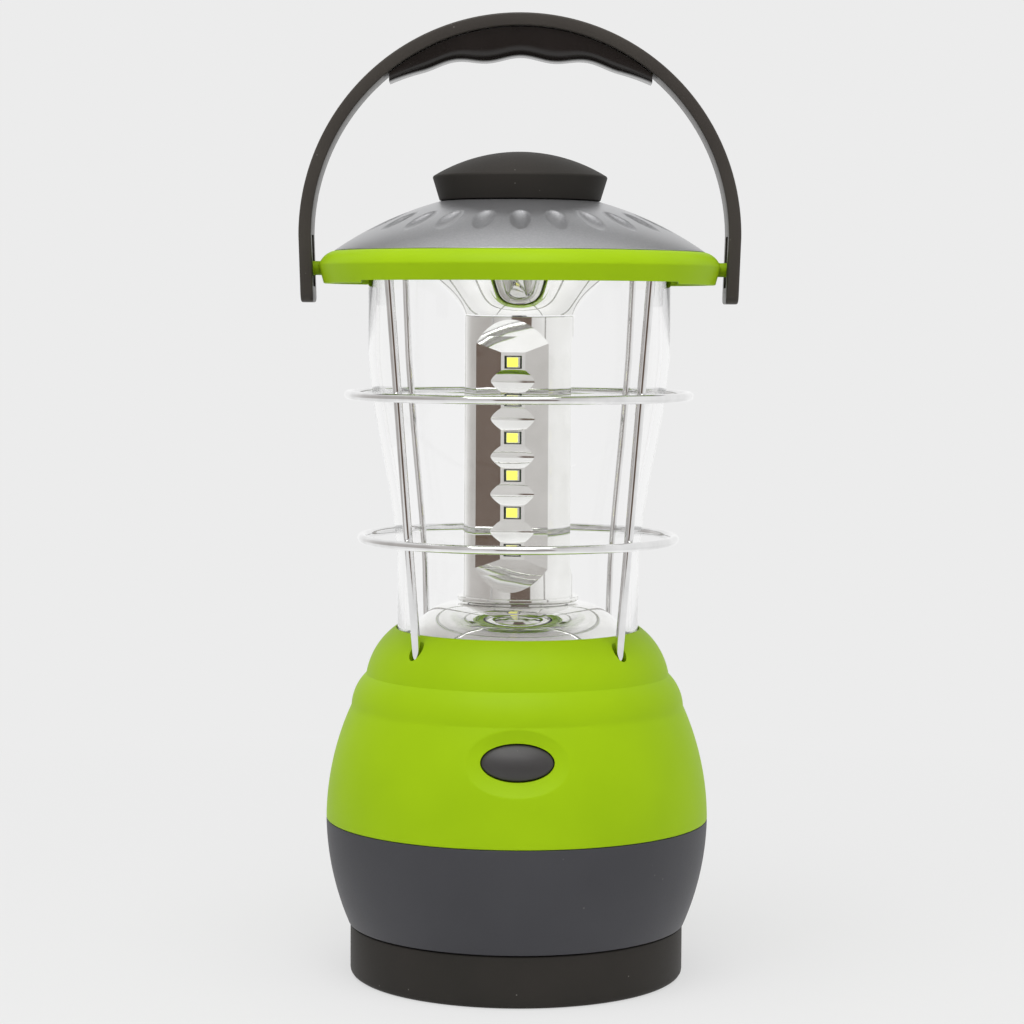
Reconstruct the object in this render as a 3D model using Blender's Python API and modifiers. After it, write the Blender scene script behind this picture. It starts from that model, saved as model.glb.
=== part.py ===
"""Battery camping lantern with a wire cage, a mirrored LED column and a swinging bail handle.

Metres, +Z up, origin at the middle of the face it stands on, front towards -Y.
"""

import math

import bmesh
import bpy
from mathutils import Matrix, Vector

# Fits
FIT = 0.0003  # gap between pieces that touch
RUNNING = 0.0004  # gap round a piece that turns or slides
OVERLAP = 0.001  # how far joined shapes and cutters run into or past each other
TURN_STEPS = 28  # facets round a large turned piece
SMALL_STEPS = 16  # facets round a small one
SHARP = math.radians(32)  # edges sharper than this stay crisp

# D cells and their bay
CELL_R = 0.0171
CELL_LENGTH = 0.0615
NUB_R = 0.00475
NUB_HEIGHT = 0.0015
CELL_WEB = 0.0012  # web between two bores
SPRING_HEIGHT = 0.0065
SPRING_R = 0.0075
SPRING_TIP_R = 0.0052
SPRING_WIRE_R = 0.00045
SPRING_TURNS = 3
PLATE_THICKNESS = 0.0005
PLATE_WIDTH = 0.009
CRADLE_WALL = 0.0012
CRADLE_ROOF = 0.002
CRADLE_FLANGE = 0.0042
CRADLE_FLANGE_HEIGHT = 0.002
DISC_THICKNESS = 0.002

# Foot, which is the battery cover
FOOT_HEIGHT = 0.0135
FOOT_LIP = 0.0041  # foot beyond the bayonet neck
FOOT_ROUND = 0.0016
FOOT_RECESS = 0.0035
FOOT_LAND = 0.0052  # width of the ring it stands on
COVER_FLOOR = 0.0025
NECK_WALL = 0.0016
SEAL_WIDTH = 0.0022
SEAL_DEPTH = 0.001
PARTING = 0.0006  # shadow gap above the foot
LUG_COUNT = 3
LUG_REACH = 0.0015
LUG_WIDTH = 0.014
LUG_HEIGHT = 0.002
TWIST = math.radians(30)  # from locked to free

# Lower and upper shell
WALL = 0.0025
WAIST_STEP = 0.0004
BODY_SWELL = 0.006
LOWER_SHELL_HEIGHT = 0.0277
LOWER_BULGE = 0.0014
LEDGE_THICKNESS = 0.0025
CHANNEL_HEIGHT = 0.0062
SHELF_THICKNESS = 0.0022
TONGUE_HEIGHT = 0.004
TONGUE_THICKNESS = 0.0014
BODY_BULGE = 0.0016
TIER_DROP = 0.0066  # body to the lower crease, in radius
TIER_RISE = 0.0084  # between the two creases
TIER_STEP = 0.0039
TIER_BULGE = 0.0009
SHOULDER_RISE = 0.0122
SHOULDER_STEP = 0.0075
SHOULDER_BULGE = 0.0014
RIM_EDGE = 0.0004
LEAD_SPACE = 0.004  # between the cradle's roof and the deck
DECK_THICKNESS = 0.0025
DECK_HOLE_R = 0.006
CHIMNEY_SEAT = 0.0057

# Push button and switch
BUTTON_DROP = 0.0086  # below the lower crease
BUTTON_WIDTH = 0.0179
BUTTON_HEIGHT = 0.0087
BUTTON_SINK = 0.0003
BUTTON_CROWN = 0.0009
BUTTON_STROKE = 0.0015
BUTTON_FLANGE = 0.0011
FLANGE_THICKNESS = 0.0012
FLANGE_SETBACK = 0.0036  # flange behind the inner wall, clear of its curve
DISH_REACH = 0.052
DISH_RISE = 0.0125
DISH_DEPTH = 0.00185
DISH_BOWL = 0.005
BOARD_THICKNESS = 0.0016
BOARD_WIDTH = 0.016
BOARD_HEIGHT = 0.014
SWITCH_SIZE = 0.007
SWITCH_BODY = 0.005
PLUNGER_R = 0.0016
PLUNGER_GUIDE = 0.0011  # plunger inside the switch at rest

# Chimney and cage
CHIMNEY_SHOWN = 0.0912
CHIMNEY_WALL = 0.002
CHIMNEY_FLARE = 0.0078
FLARE_FROM = 0.0188  # above the rim
FLARE_TO = 0.0718
FLARE_EASE = 0.35  # 0 is a straight taper, 1 a full S
WIRE_R = 0.00115
WIRE_FOOT_STANDOFF = 0.0039
WIRE_TOP_STANDOFF = 0.006
WIRE_FOOT_AZIMUTH = math.radians(46)  # from front and back
WIRE_TOP_AZIMUTH = math.radians(47.2)
WIRE_HOLE_R = 0.002
WIRE_SEAT = 0.001
LOWER_HOOP_RISE = 0.0238  # above the rim
UPPER_HOOP_RISE = 0.0615

# Reflector column and LEDs
COLUMN_R = 0.0145
COLUMN_COLLAR = 0.0016
COLUMN_COLLAR_HEIGHT = 0.0014
COLUMN_SPIGOT_STEP = 0.0015
COLUMN_TURN = math.radians(-9.4)
COLUMN_CAP = 0.0065  # closed top above the bore
TROUGH_COUNT = 3
WINDOW_WIDTH = 0.019
WINDOW_SLOPE = 1.63  # length gained along the column for each unit of depth
WINDOW_LAND = 0.0016
DISH_FLOOR_WIDTH = 0.0064
DISH_FLOOR_DEPTH = 0.00135
DISH_END = 0.00225
LED_COUNT = 6
LED_END = 0.0047
LED_WIDTH = 0.0035
LED_HEIGHT = 0.0028
LED_THICKNESS = 0.001
LED_SEAT = 0.00015
LED_HOLE_WIDTH = 0.0046
LED_HOLE_HEIGHT = 0.0033
RIDGE_WIDTH = 0.0162
RIDGE_PROUD = 0.0021
FLOOR_THICKNESS = 0.001
LED_BOARD_WIDTH = 0.0096
LED_BOARD_THICKNESS = 0.0012
MIRROR_WALL = 0.0012
LOWER_MIRROR_RISE = 0.0132
LOWER_MIRROR_BULGE = 0.0032
UPPER_MIRROR_RISE = 0.0111
MIRROR_FLANGE = 0.0012

# Top ring, shade and cap
RING_OVERHANG = 0.013  # beyond the chimney
RING_HEIGHT = 0.0078
RING_RIDGE = 0.0042  # ridge line above the ring's foot
RING_FOOT_IN = 0.0013
RING_TOP_IN = 0.0037
RING_WALL = 0.002
RING_LAND = 0.0035
RING_LIP = 0.00065  # thicker foot beside the pivots
RING_LIP_FROM = 0.0399
ROOF_RISE = 0.0041
ROOF_THICKNESS = 0.0028
ROOF_HOLE_R = 0.034
STUB_R = 0.00185
STUB_RISE = 0.0034
SHADE_WALL = 0.0022
SHADE_RISE = 0.0131
SHADE_BULGE = 0.0013
SHADE_EDGE = 0.0029
DIMPLE_COUNT = 24
DIMPLE_R = 0.0385
DIMPLE_LENGTH = 0.0105
DIMPLE_WIDTH = 0.0052
DIMPLE_DEPTH = 0.0009
CAP_R = 0.0211
CAP_FLARE = 0.0019
CAP_SIDE = 0.0062
CAP_DOME = 0.0066
CAP_WALL = 0.002
WELL_R = 0.016
WELL_DEPTH = 0.0033
HUB_R = 0.005

# Screws
TIE_R = 0.0019
TIE_HEAD_R = 0.0038
TIE_HEAD = 0.0026
TIE_GRIP = 0.008  # length inside the column
DECK_SCREW_R = 0.0014
DECK_SCREW_HEAD_R = 0.0027
DECK_SCREW_HEAD = 0.002
DECK_SCREW_GRIP = 0.008
DECK_SCREW_COUNT = 2

# Leads
LEAD_R = 0.0008
LEAD_SPREAD = 0.003
LEAD_RISE = 0.018  # above the deck

# Bail handle and grip
HANDLE_GAP = 0.0017
HANDLE_THICKNESS = 0.0033
HANDLE_WIDTH = 0.0145
HANDLE_RISE = 0.0085  # arch centre above the pivot
HANDLE_TAIL = 0.009  # leg below the pivot
HANDLE_LEAN = 0.0006  # foot of a leg nearer the middle than its top
HANDLE_EDGE = 0.0005
HANDLE_END_ROUND = 0.0025
POCKET_DEPTH = 0.0023
SLOT_ABOVE = 0.0087
SLOT_BELOW = 0.0048
SLOT_WIDTH = 0.0075
SLOT_DEPTH = 0.001
GRIP_REACH = 0.0342
GRIP_WIDTH = 0.0118
GRIP_MIDDLE = 0.0086
GRIP_END = 0.0022
SCALLOP_DEPTH = 0.0012
SCALLOP_PITCH = 0.0172
SCALLOP_COUNT = 3


def arc(start, end, bulge, count):
    """Points after start up to end on an arc that stands out by bulge on the left of the way."""
    last = tuple(end)  # kept exact, because vectors are single precision
    start, end = Vector(start), Vector(end)
    along = (end - start).normalized()
    side = Vector((-along.y, along.x))
    half = (end - start).length / 2
    radius = (half**2 + bulge**2) / (2 * bulge)
    centre = (start + end) / 2 - side * (radius - bulge)
    sweep = math.asin(half / radius)
    points = []
    for index in range(1, count):
        angle = sweep * (2 * index / count - 1)
        points.append(tuple(centre + side * radius * math.cos(angle) + along * radius * math.sin(angle)))
    return points + [last]


def radius_at(outline, height):
    """Radius of an outline that runs downwards, at one height."""
    for (upper_r, upper_z), (lower_r, lower_z) in zip(outline, outline[1:]):
        if lower_z <= height <= upper_z:
            share = (upper_z - height) / (upper_z - lower_z)
            return upper_r + share * (lower_r - upper_r)
    raise ValueError("height outside the outline")


def between(outline, low, high):
    """The inner wall of a shell between two heights, from the bottom up."""
    middle = [point for point in outline if low + FIT < point[1] < high - FIT]
    ends = [(radius_at(outline, high), high), *middle, (radius_at(outline, low), low)]
    return [(radius - WALL, height) for radius, height in reversed(ends)]


# Radii, from the cells outwards
CELL_ORBIT = (2 * (CELL_R + FIT) + CELL_WEB) / math.sqrt(3)
BAY_R = CELL_ORBIT + CELL_R + FIT
CRADLE_R = BAY_R + CRADLE_WALL
CRADLE_FRONT = CELL_ORBIT / 2 + CELL_R + FIT + CRADLE_WALL
NECK_BORE = BAY_R + FIT
NECK_R = NECK_BORE + NECK_WALL
LUG_R = NECK_R + LUG_REACH
LEDGE_BORE = NECK_R + RUNNING
FOOT_R = NECK_R + FOOT_LIP
WAIST_R = FOOT_R + WAIST_STEP
BODY_R = WAIST_R + BODY_SWELL
LOWER_CREASE_R = BODY_R - TIER_DROP
UPPER_CREASE_R = LOWER_CREASE_R - TIER_STEP
RIM_R = UPPER_CREASE_R - SHOULDER_STEP
POCKET_R = RIM_R - RIM_EDGE
CHIMNEY_R = POCKET_R - FIT
CHIMNEY_TOP_R = CHIMNEY_R + CHIMNEY_FLARE
RING_R = CHIMNEY_TOP_R + RING_OVERHANG
WIRE_FOOT_R = CHIMNEY_R + WIRE_FOOT_STANDOFF
WIRE_TOP_R = CHIMNEY_TOP_R + WIRE_TOP_STANDOFF
ARM_X = RING_R + HANDLE_GAP
HANDLE_R = ARM_X + HANDLE_THICKNESS

# Heights, from the ground up
FLOOR_TOP = FOOT_RECESS + COVER_FLOOR
DISC_Z = FLOOR_TOP + FIT
DISC_TOP = DISC_Z + DISC_THICKNESS
SPRING_Z = DISC_TOP + FIT
CELL_Z = SPRING_Z + SPRING_HEIGHT + FIT
PLATE_Z = CELL_Z + CELL_LENGTH + FIT
ROOF_Z = PLATE_Z + PLATE_THICKNESS + FIT
CRADLE_TOP = ROOF_Z + CRADLE_ROOF
DECK_Z = CRADLE_TOP + LEAD_SPACE
DECK_TOP = DECK_Z + DECK_THICKNESS
RIM_Z = DECK_TOP + CHIMNEY_SEAT
UPPER_CREASE_Z = RIM_Z - SHOULDER_RISE
LOWER_CREASE_Z = UPPER_CREASE_Z - TIER_RISE
BUTTON_Z = LOWER_CREASE_Z - BUTTON_DROP
LOWER_Z = FOOT_HEIGHT + PARTING
LEDGE_TOP = LOWER_Z + LEDGE_THICKNESS
SHELF_Z = LEDGE_TOP + CHANNEL_HEIGHT
CRADLE_Z = SHELF_Z + SHELF_THICKNESS + FIT
NECK_TOP = SHELF_Z - RUNNING
SPLIT_Z = LOWER_Z + LOWER_SHELL_HEIGHT
RING_Z = RIM_Z + CHIMNEY_SHOWN
RING_ROOF_Z = RING_Z + ROOF_RISE
RING_TOP = RING_Z + RING_HEIGHT
PIVOT_Z = RING_Z + STUB_RISE
CHIMNEY_TOP = RING_ROOF_Z - FIT
COLUMN_Z = DECK_TOP + FIT
COLLAR_Z = DECK_TOP + LOWER_MIRROR_RISE + FIT
UPPER_MIRROR_Z = RING_ROOF_Z - FIT - MIRROR_FLANGE - UPPER_MIRROR_RISE
COLUMN_TOP = UPPER_MIRROR_Z - FIT
SHADE_Z = RING_TOP + FIT
SHADE_TOP = SHADE_Z + SHADE_RISE - FIT
WELL_Z = SHADE_TOP - WELL_DEPTH
CAP_Z = SHADE_TOP + FIT
ARCH_Z = PIVOT_Z + HANDLE_RISE

# Outlines that several pieces follow
UPPER_OUTLINE = [
    (RIM_R, RIM_Z),
    *arc((RIM_R, RIM_Z), (UPPER_CREASE_R, UPPER_CREASE_Z), SHOULDER_BULGE, 3),
    *arc((UPPER_CREASE_R, UPPER_CREASE_Z), (LOWER_CREASE_R, LOWER_CREASE_Z), TIER_BULGE, 2),
    *arc((LOWER_CREASE_R, LOWER_CREASE_Z), (BODY_R, SPLIT_Z + FIT / 2), BODY_BULGE, 3),
]
LOWER_OUTLINE = [
    (BODY_R, SPLIT_Z - FIT / 2),
    *arc((BODY_R, SPLIT_Z - FIT / 2), (WAIST_R, LOWER_Z), LOWER_BULGE, 3),
]

# Reflector troughs, measured outwards from the column's axis
CHORD = math.sqrt(COLUMN_R**2 - (WINDOW_WIDTH / 2) ** 2)
TROUGH_FLOOR = CHORD - DISH_FLOOR_DEPTH
LED_BOARD_FACE = TROUGH_FLOOR - FLOOR_THICKNESS - FIT
LED_BOARD_BACK = LED_BOARD_FACE - LED_BOARD_THICKNESS
COLUMN_BORE_R = LED_BOARD_BACK + FIT
WINDOW_APEX = (COLUMN_R - CHORD) * WINDOW_SLOPE
WINDOW_LOW = COLLAR_Z + COLUMN_COLLAR_HEIGHT + WINDOW_LAND + WINDOW_APEX
WINDOW_HIGH = COLUMN_TOP - WINDOW_LAND - WINDOW_APEX
LED_PITCH = (WINDOW_HIGH - WINDOW_LOW - 2 * LED_END) / (LED_COUNT - 1)


def clear_scene():
    for obj in list(bpy.data.objects):
        bpy.data.objects.remove(obj, do_unlink=True)


def new_collection(name):
    group = bpy.data.collections.new(name)
    bpy.context.scene.collection.children.link(group)
    return group


def linear(code):
    """A six-digit sRGB colour as linear red, green, blue and alpha."""
    values = [int(code[i : i + 2], 16) / 255 for i in (0, 2, 4)]
    return [v / 12.92 if v <= 0.04045 else ((v + 0.055) / 1.055) ** 2.4 for v in values] + [1.0]


def new_finish(name, colour, roughness, metallic=0.0, transmission=0.0):
    finish = bpy.data.materials.new(name)
    finish.use_nodes = True
    shader = finish.node_tree.nodes["Principled BSDF"]
    shader.inputs["Base Color"].default_value = linear(colour)
    shader.inputs["Roughness"].default_value = roughness
    shader.inputs["Metallic"].default_value = metallic
    shader.inputs["Transmission Weight"].default_value = transmission
    finish.diffuse_color = linear(colour)
    return finish


def add_object(name, mesh, finish=None):
    """A part when it has a finish, and otherwise a hidden cutter."""
    obj = bpy.data.objects.new(name, mesh)
    if finish is None:
        cutters.objects.link(obj)
        obj.hide_render = True
        obj.display_type = "WIRE"
    else:
        lantern.objects.link(obj)
        mesh.materials.append(finish)
    return obj


def mesh_of(name, shape):
    bmesh.ops.recalc_face_normals(shape, faces=shape.faces)
    mesh = bpy.data.meshes.new(name)
    shape.to_mesh(mesh)
    shape.free()
    return mesh


def turned(name, outline, finish=None, closed=True, steps=TURN_STEPS):
    """An outline of radius and height turned about Z. An open outline starts and ends on the axis."""
    mesh = bpy.data.meshes.new(name)
    count = len(outline)
    edges = [(i, (i + 1) % count) for i in range(count if closed else count - 1)]
    mesh.from_pydata([(radius, 0.0, height) for radius, height in outline], edges, [])
    obj = add_object(name, mesh, finish)
    screw = obj.modifiers.new("Turn", "SCREW")
    screw.axis = "Z"
    screw.steps = steps
    screw.render_steps = steps
    screw.use_merge_vertices = True
    screw.merge_threshold = 1e-5
    return obj


def add_box(shape, low, high, placed=None):
    """A box between two corners, then moved by a matrix."""
    low, high = Vector(low), Vector(high)
    local = Matrix.Translation((low + high) / 2) @ Matrix.Diagonal((*(high - low), 1.0))
    return bmesh.ops.create_cube(shape, size=1.0, matrix=(placed or Matrix()) @ local)["verts"]


def add_rod(shape, start, end, radius, sides=SMALL_STEPS):
    """A closed cylinder between two points."""
    start, end = Vector(start), Vector(end)
    turn = (end - start).to_track_quat("Z", "Y").to_matrix().to_4x4()
    bmesh.ops.create_cone(
        shape,
        cap_ends=True,
        segments=sides,
        radius1=radius,
        radius2=radius,
        depth=(end - start).length,
        matrix=Matrix.Translation((start + end) / 2) @ turn,
    )


def add_ellipsoid(shape, halves, placed, rings, sides):
    bmesh.ops.create_uvsphere(
        shape,
        u_segments=sides,
        v_segments=rings,
        radius=1.0,
        matrix=placed @ Matrix.Diagonal((*halves, 1.0)),
    )


def boolean(obj, tool, operation):
    step = obj.modifiers.new(tool.name, "BOOLEAN")
    step.object = tool
    step.operation = operation


def turn_z(angle):
    return Matrix.Rotation(angle, 4, "Z")


def bake(obj):
    """Applies an object's modifiers and shades its round faces smooth."""
    bpy.context.view_layer.update()
    graph = bpy.context.evaluated_depsgraph_get()
    mesh = bpy.data.meshes.new_from_object(obj.evaluated_get(graph))
    obj.modifiers.clear()
    obj.data = mesh
    mesh.shade_smooth()
    mesh.set_sharp_from_angle(angle=SHARP)


def mesh_from_curve(name, curve, finish, placed=None):
    """Makes a curve a mesh with its caps welded."""
    guide = bpy.data.objects.new(name + "_guide", curve)
    bpy.context.scene.collection.objects.link(guide)
    guide.matrix_world = placed or Matrix()
    bpy.context.view_layer.update()
    graph = bpy.context.evaluated_depsgraph_get()
    shape = bmesh.new()
    shape.from_mesh(bpy.data.meshes.new_from_object(guide.evaluated_get(graph)))
    bmesh.ops.transform(shape, matrix=guide.matrix_world, verts=shape.verts)
    bmesh.ops.remove_doubles(shape, verts=shape.verts, dist=1e-6)
    bpy.data.objects.remove(guide, do_unlink=True)
    return add_object(name, mesh_of(name, shape), finish)


def cell_places():
    """Middles of the three bores: two at the front, one at the back."""
    return [
        Vector((-CELL_ORBIT * math.sin(math.radians(60)), -CELL_ORBIT / 2, 0)),
        Vector((CELL_ORBIT * math.sin(math.radians(60)), -CELL_ORBIT / 2, 0)),
        Vector((0, CELL_ORBIT, 0)),
    ]


def make_battery_cover():
    foot_in = FOOT_R - FOOT_LAND
    groove_r = NECK_R + SEAL_WIDTH + 2 * FIT
    corner = math.sqrt(0.5) * FOOT_ROUND
    cover = turned(
        "battery_cover",
        [
            (0, FLOOR_TOP),
            (NECK_BORE, FLOOR_TOP),
            (NECK_BORE, NECK_TOP),
            (NECK_R, NECK_TOP),
            (NECK_R, FOOT_HEIGHT - SEAL_DEPTH),
            (groove_r, FOOT_HEIGHT - SEAL_DEPTH),
            (groove_r, FOOT_HEIGHT),
            (FOOT_R, FOOT_HEIGHT),
            (FOOT_R, FOOT_ROUND),
            (FOOT_R - FOOT_ROUND + corner, FOOT_ROUND - corner),
            (FOOT_R - FOOT_ROUND, 0),
            (foot_in, 0),
            (foot_in, FOOT_RECESS),
            (0, FOOT_RECESS),
        ],
        black_plastic,
        closed=False,
    )
    shape = bmesh.new()
    lug_z = LEDGE_TOP + RUNNING
    for index in range(LUG_COUNT):
        add_box(
            shape,
            (NECK_R - NECK_WALL / 2, -LUG_WIDTH / 2, lug_z),
            (LUG_R, LUG_WIDTH / 2, lug_z + LUG_HEIGHT),
            turn_z(math.tau * index / LUG_COUNT),
        )
    boolean(cover, add_object("bayonet_lugs", mesh_of("bayonet_lugs", shape)), "UNION")
    return cover


def make_cover_seal():
    inner, low, high = NECK_R + FIT, FOOT_HEIGHT - SEAL_DEPTH + FIT, LOWER_Z - FIT
    outer = inner + SEAL_WIDTH
    return turned("cover_seal", [(outer, high), (outer, low), (inner, low), (inner, high)], black_rubber)


def plate_box(shape, ends, low, high, margin=0.0):
    """A flat bar of the contact plates' width from one cell's middle to another's."""
    first, last = ends
    along = last - first
    placed = Matrix.Translation((first + last) / 2) @ turn_z(math.atan2(along.y, along.x))
    half = along.length / 2 + PLATE_WIDTH / 2 + margin
    side = PLATE_WIDTH / 2 + margin
    add_box(shape, (-half, -side, low), (half, side, high), placed)


def make_contacts():
    """The contact disc, the bridges and the springs of three cells in series."""
    left, right, back = cell_places()
    disc_r = NECK_BORE - FIT
    disc = turned(
        "contact_disc",
        [(0, DISC_TOP), (disc_r, DISC_TOP), (disc_r, DISC_Z), (0, DISC_Z)],
        black_plastic,
        closed=False,
    )
    bridge_z = DISC_TOP - PLATE_THICKNESS
    recess = bmesh.new()
    plate_box(recess, (right, back), bridge_z - FIT, DISC_TOP + OVERLAP, FIT)
    boolean(disc, add_object("bridge_recess", mesh_of("bridge_recess", recess)), "DIFFERENCE")
    for name, ends, low in (
        ("bottom_bridge", (right, back), bridge_z),
        ("top_bridge", (left, back), PLATE_Z),
        ("positive_plate", (right, right), PLATE_Z),
    ):
        shape = bmesh.new()
        plate_box(shape, ends, low, low + PLATE_THICKNESS)
        add_object(name, mesh_of(name, shape), brass)
    cell_top = SPRING_Z + CELL_LENGTH + FIT
    for index, (place, low, flip) in enumerate(
        ((left, SPRING_Z, False), (right, SPRING_Z, False), (back, cell_top, True)), 1
    ):
        make_spring(f"contact_spring_{index}", place, low, flip)


def make_spring(name, place, low, flip):
    """A conical coil, wide at the plate that carries it, of one unbroken wire."""
    per_turn = 8
    count = SPRING_TURNS * per_turn
    points = []
    for index in range(count + 1):
        share = index / count
        angle = math.tau * SPRING_TURNS * share
        radius = SPRING_R + (SPRING_TIP_R - SPRING_R) * share
        height = SPRING_WIRE_R + (SPRING_HEIGHT - 2 * SPRING_WIRE_R) * share
        level = SPRING_HEIGHT - height if flip else height
        points.append(Vector((radius * math.cos(angle), radius * math.sin(angle), low + level)) + place)
    far = [(p - q).length for i, p in enumerate(points) for q in points[i + per_turn - 1 :]]
    print(f"{name}: least gap between turns {1000 * (min(far) - 2 * SPRING_WIRE_R):.2f} mm")
    curve = bpy.data.curves.new(name, "CURVE")
    curve.dimensions = "3D"
    curve.bevel_depth = SPRING_WIRE_R
    curve.bevel_resolution = 0
    curve.use_fill_caps = True
    spline = curve.splines.new("POLY")
    spline.points.add(count)
    for point, place_of in zip(spline.points, points):
        point.co = (*place_of, 1.0)
    return mesh_from_curve(name, curve, spring_steel)


def make_cells():
    left, right, back = cell_places()
    body = CELL_LENGTH - NUB_HEIGHT
    outline = [
        (0, CELL_LENGTH),
        (NUB_R, CELL_LENGTH),
        (NUB_R, body),
        (CELL_R, body),
        (CELL_R, 0),
        (0, 0),
    ]
    for index, (place, low, flip) in enumerate(
        ((left, CELL_Z, False), (right, CELL_Z, False), (back, SPRING_Z, True)), 1
    ):
        cell = turned(f"battery_cell_{index}", outline, cell_jacket, closed=False, steps=SMALL_STEPS)
        cell.location = place + Vector((0, 0, low + CELL_LENGTH if flip else low))
        cell.rotation_euler.x = math.pi if flip else 0.0


def make_battery_cradle():
    """A block with three bores, its front cut flat for the switch board."""
    left, right, back = cell_places()
    chamfer_z = CELL_Z + CELL_LENGTH - NUB_HEIGHT
    flange_r = CRADLE_R + CRADLE_FLANGE
    flange_top = CRADLE_Z + CRADLE_FLANGE_HEIGHT
    cradle = turned(
        "battery_cradle",
        [
            (0, CRADLE_TOP),
            (CRADLE_R - (CRADLE_TOP - chamfer_z) / 2, CRADLE_TOP),
            (CRADLE_R, chamfer_z),
            (CRADLE_R, flange_top),
            (flange_r, flange_top),
            (flange_r, CRADLE_Z),
            (0, CRADLE_Z),
        ],
        black_plastic,
        closed=False,
    )
    bore_top = PLATE_Z - FIT / 2
    bores = bmesh.new()
    for place in cell_places():
        start = place + Vector((0, 0, CRADLE_Z - OVERLAP))
        add_rod(bores, start, place + Vector((0, 0, bore_top)), CELL_R + FIT, 24)
    boolean(cradle, add_object("cell_bores", mesh_of("cell_bores", bores)), "DIFFERENCE")
    for name, ends in (("top_bridge_recess", (left, back)), ("positive_recess", (right, right))):
        recess = bmesh.new()
        plate_box(recess, ends, bore_top - FIT, ROOF_Z, FIT)
        boolean(cradle, add_object(name, mesh_of(name, recess)), "DIFFERENCE")
    front = bmesh.new()
    far = CRADLE_R + CRADLE_FLANGE + OVERLAP
    add_box(front, (-far, -far, CRADLE_Z - OVERLAP), (far, -CRADLE_FRONT, CRADLE_TOP + OVERLAP))
    boolean(cradle, add_object("cradle_front", mesh_of("cradle_front", front)), "DIFFERENCE")


def make_lower_shell():
    tongue_top = SPLIT_Z + TONGUE_HEIGHT
    tongue_r = radius_at(UPPER_OUTLINE, tongue_top) - WALL - FIT
    tongue_in = tongue_r - TONGUE_THICKNESS
    tongue_root = SPLIT_Z - TONGUE_HEIGHT
    shelf_top = SHELF_Z + SHELF_THICKNESS
    shelf_bore = LUG_R
    shell = turned(
        "lower_shell",
        [
            (tongue_r, tongue_top),
            (tongue_r, SPLIT_Z - FIT / 2),
            *LOWER_OUTLINE,
            (LEDGE_BORE, LOWER_Z),
            (LEDGE_BORE, LEDGE_TOP),
            *between(LOWER_OUTLINE, LEDGE_TOP, SHELF_Z),
            (shelf_bore, SHELF_Z),
            (shelf_bore, shelf_top),
            *between(LOWER_OUTLINE, shelf_top, tongue_root),
            (tongue_in, tongue_root),
            (tongue_in, tongue_top),
        ],
        grey_plastic,
    )
    gaps = bmesh.new()
    side = LUG_WIDTH / 2 + OVERLAP
    for index in range(LUG_COUNT):
        add_box(
            gaps,
            (LEDGE_BORE - OVERLAP, -side, LOWER_Z - OVERLAP),
            (LUG_R + RUNNING, side, LEDGE_TOP + RUNNING),
            turn_z(math.tau * index / LUG_COUNT + TWIST),
        )
    boolean(shell, add_object("bayonet_gaps", mesh_of("bayonet_gaps", gaps)), "DIFFERENCE")


def button_frame():
    """A frame on the shell's face at the button: X across, Y into the body along the normal."""
    face_r = radius_at(UPPER_OUTLINE, BUTTON_Z)
    lean = math.atan2(
        radius_at(UPPER_OUTLINE, BUTTON_Z - BUTTON_HEIGHT / 2)
        - radius_at(UPPER_OUTLINE, BUTTON_Z + BUTTON_HEIGHT / 2),
        BUTTON_HEIGHT,
    )
    return Matrix.Translation((0, -face_r, BUTTON_Z)) @ Matrix.Rotation(-lean, 4, "X")


def add_oval(shape, width, height, start_y, end_y, sides=24):
    """An oval bar along Y at the button's height."""
    middle = Matrix.Translation((0, (start_y + end_y) / 2, BUTTON_Z))
    bmesh.ops.create_cone(
        shape,
        cap_ends=True,
        segments=sides,
        radius1=1.0,
        radius2=1.0,
        depth=1.0,
        matrix=middle
        @ Matrix.Diagonal((width / 2, end_y - start_y, height / 2, 1.0))
        @ Matrix.Rotation(math.pi / 2, 4, "X"),
    )


def wire_ends(index):
    """Foot and head of one upright of the cage."""
    right = 1 if index in (0, 3) else -1
    front = -1 if index < 2 else 1
    low, high = DECK_Z + WIRE_SEAT + FIT, RING_ROOF_Z + ROOF_THICKNESS - FIT
    ends = ((WIRE_FOOT_R, WIRE_FOOT_AZIMUTH, low), (WIRE_TOP_R, WIRE_TOP_AZIMUTH, high))
    return [
        Vector((right * radius * math.sin(azimuth), front * radius * math.cos(azimuth), height))
        for radius, azimuth, height in ends
    ]


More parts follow.
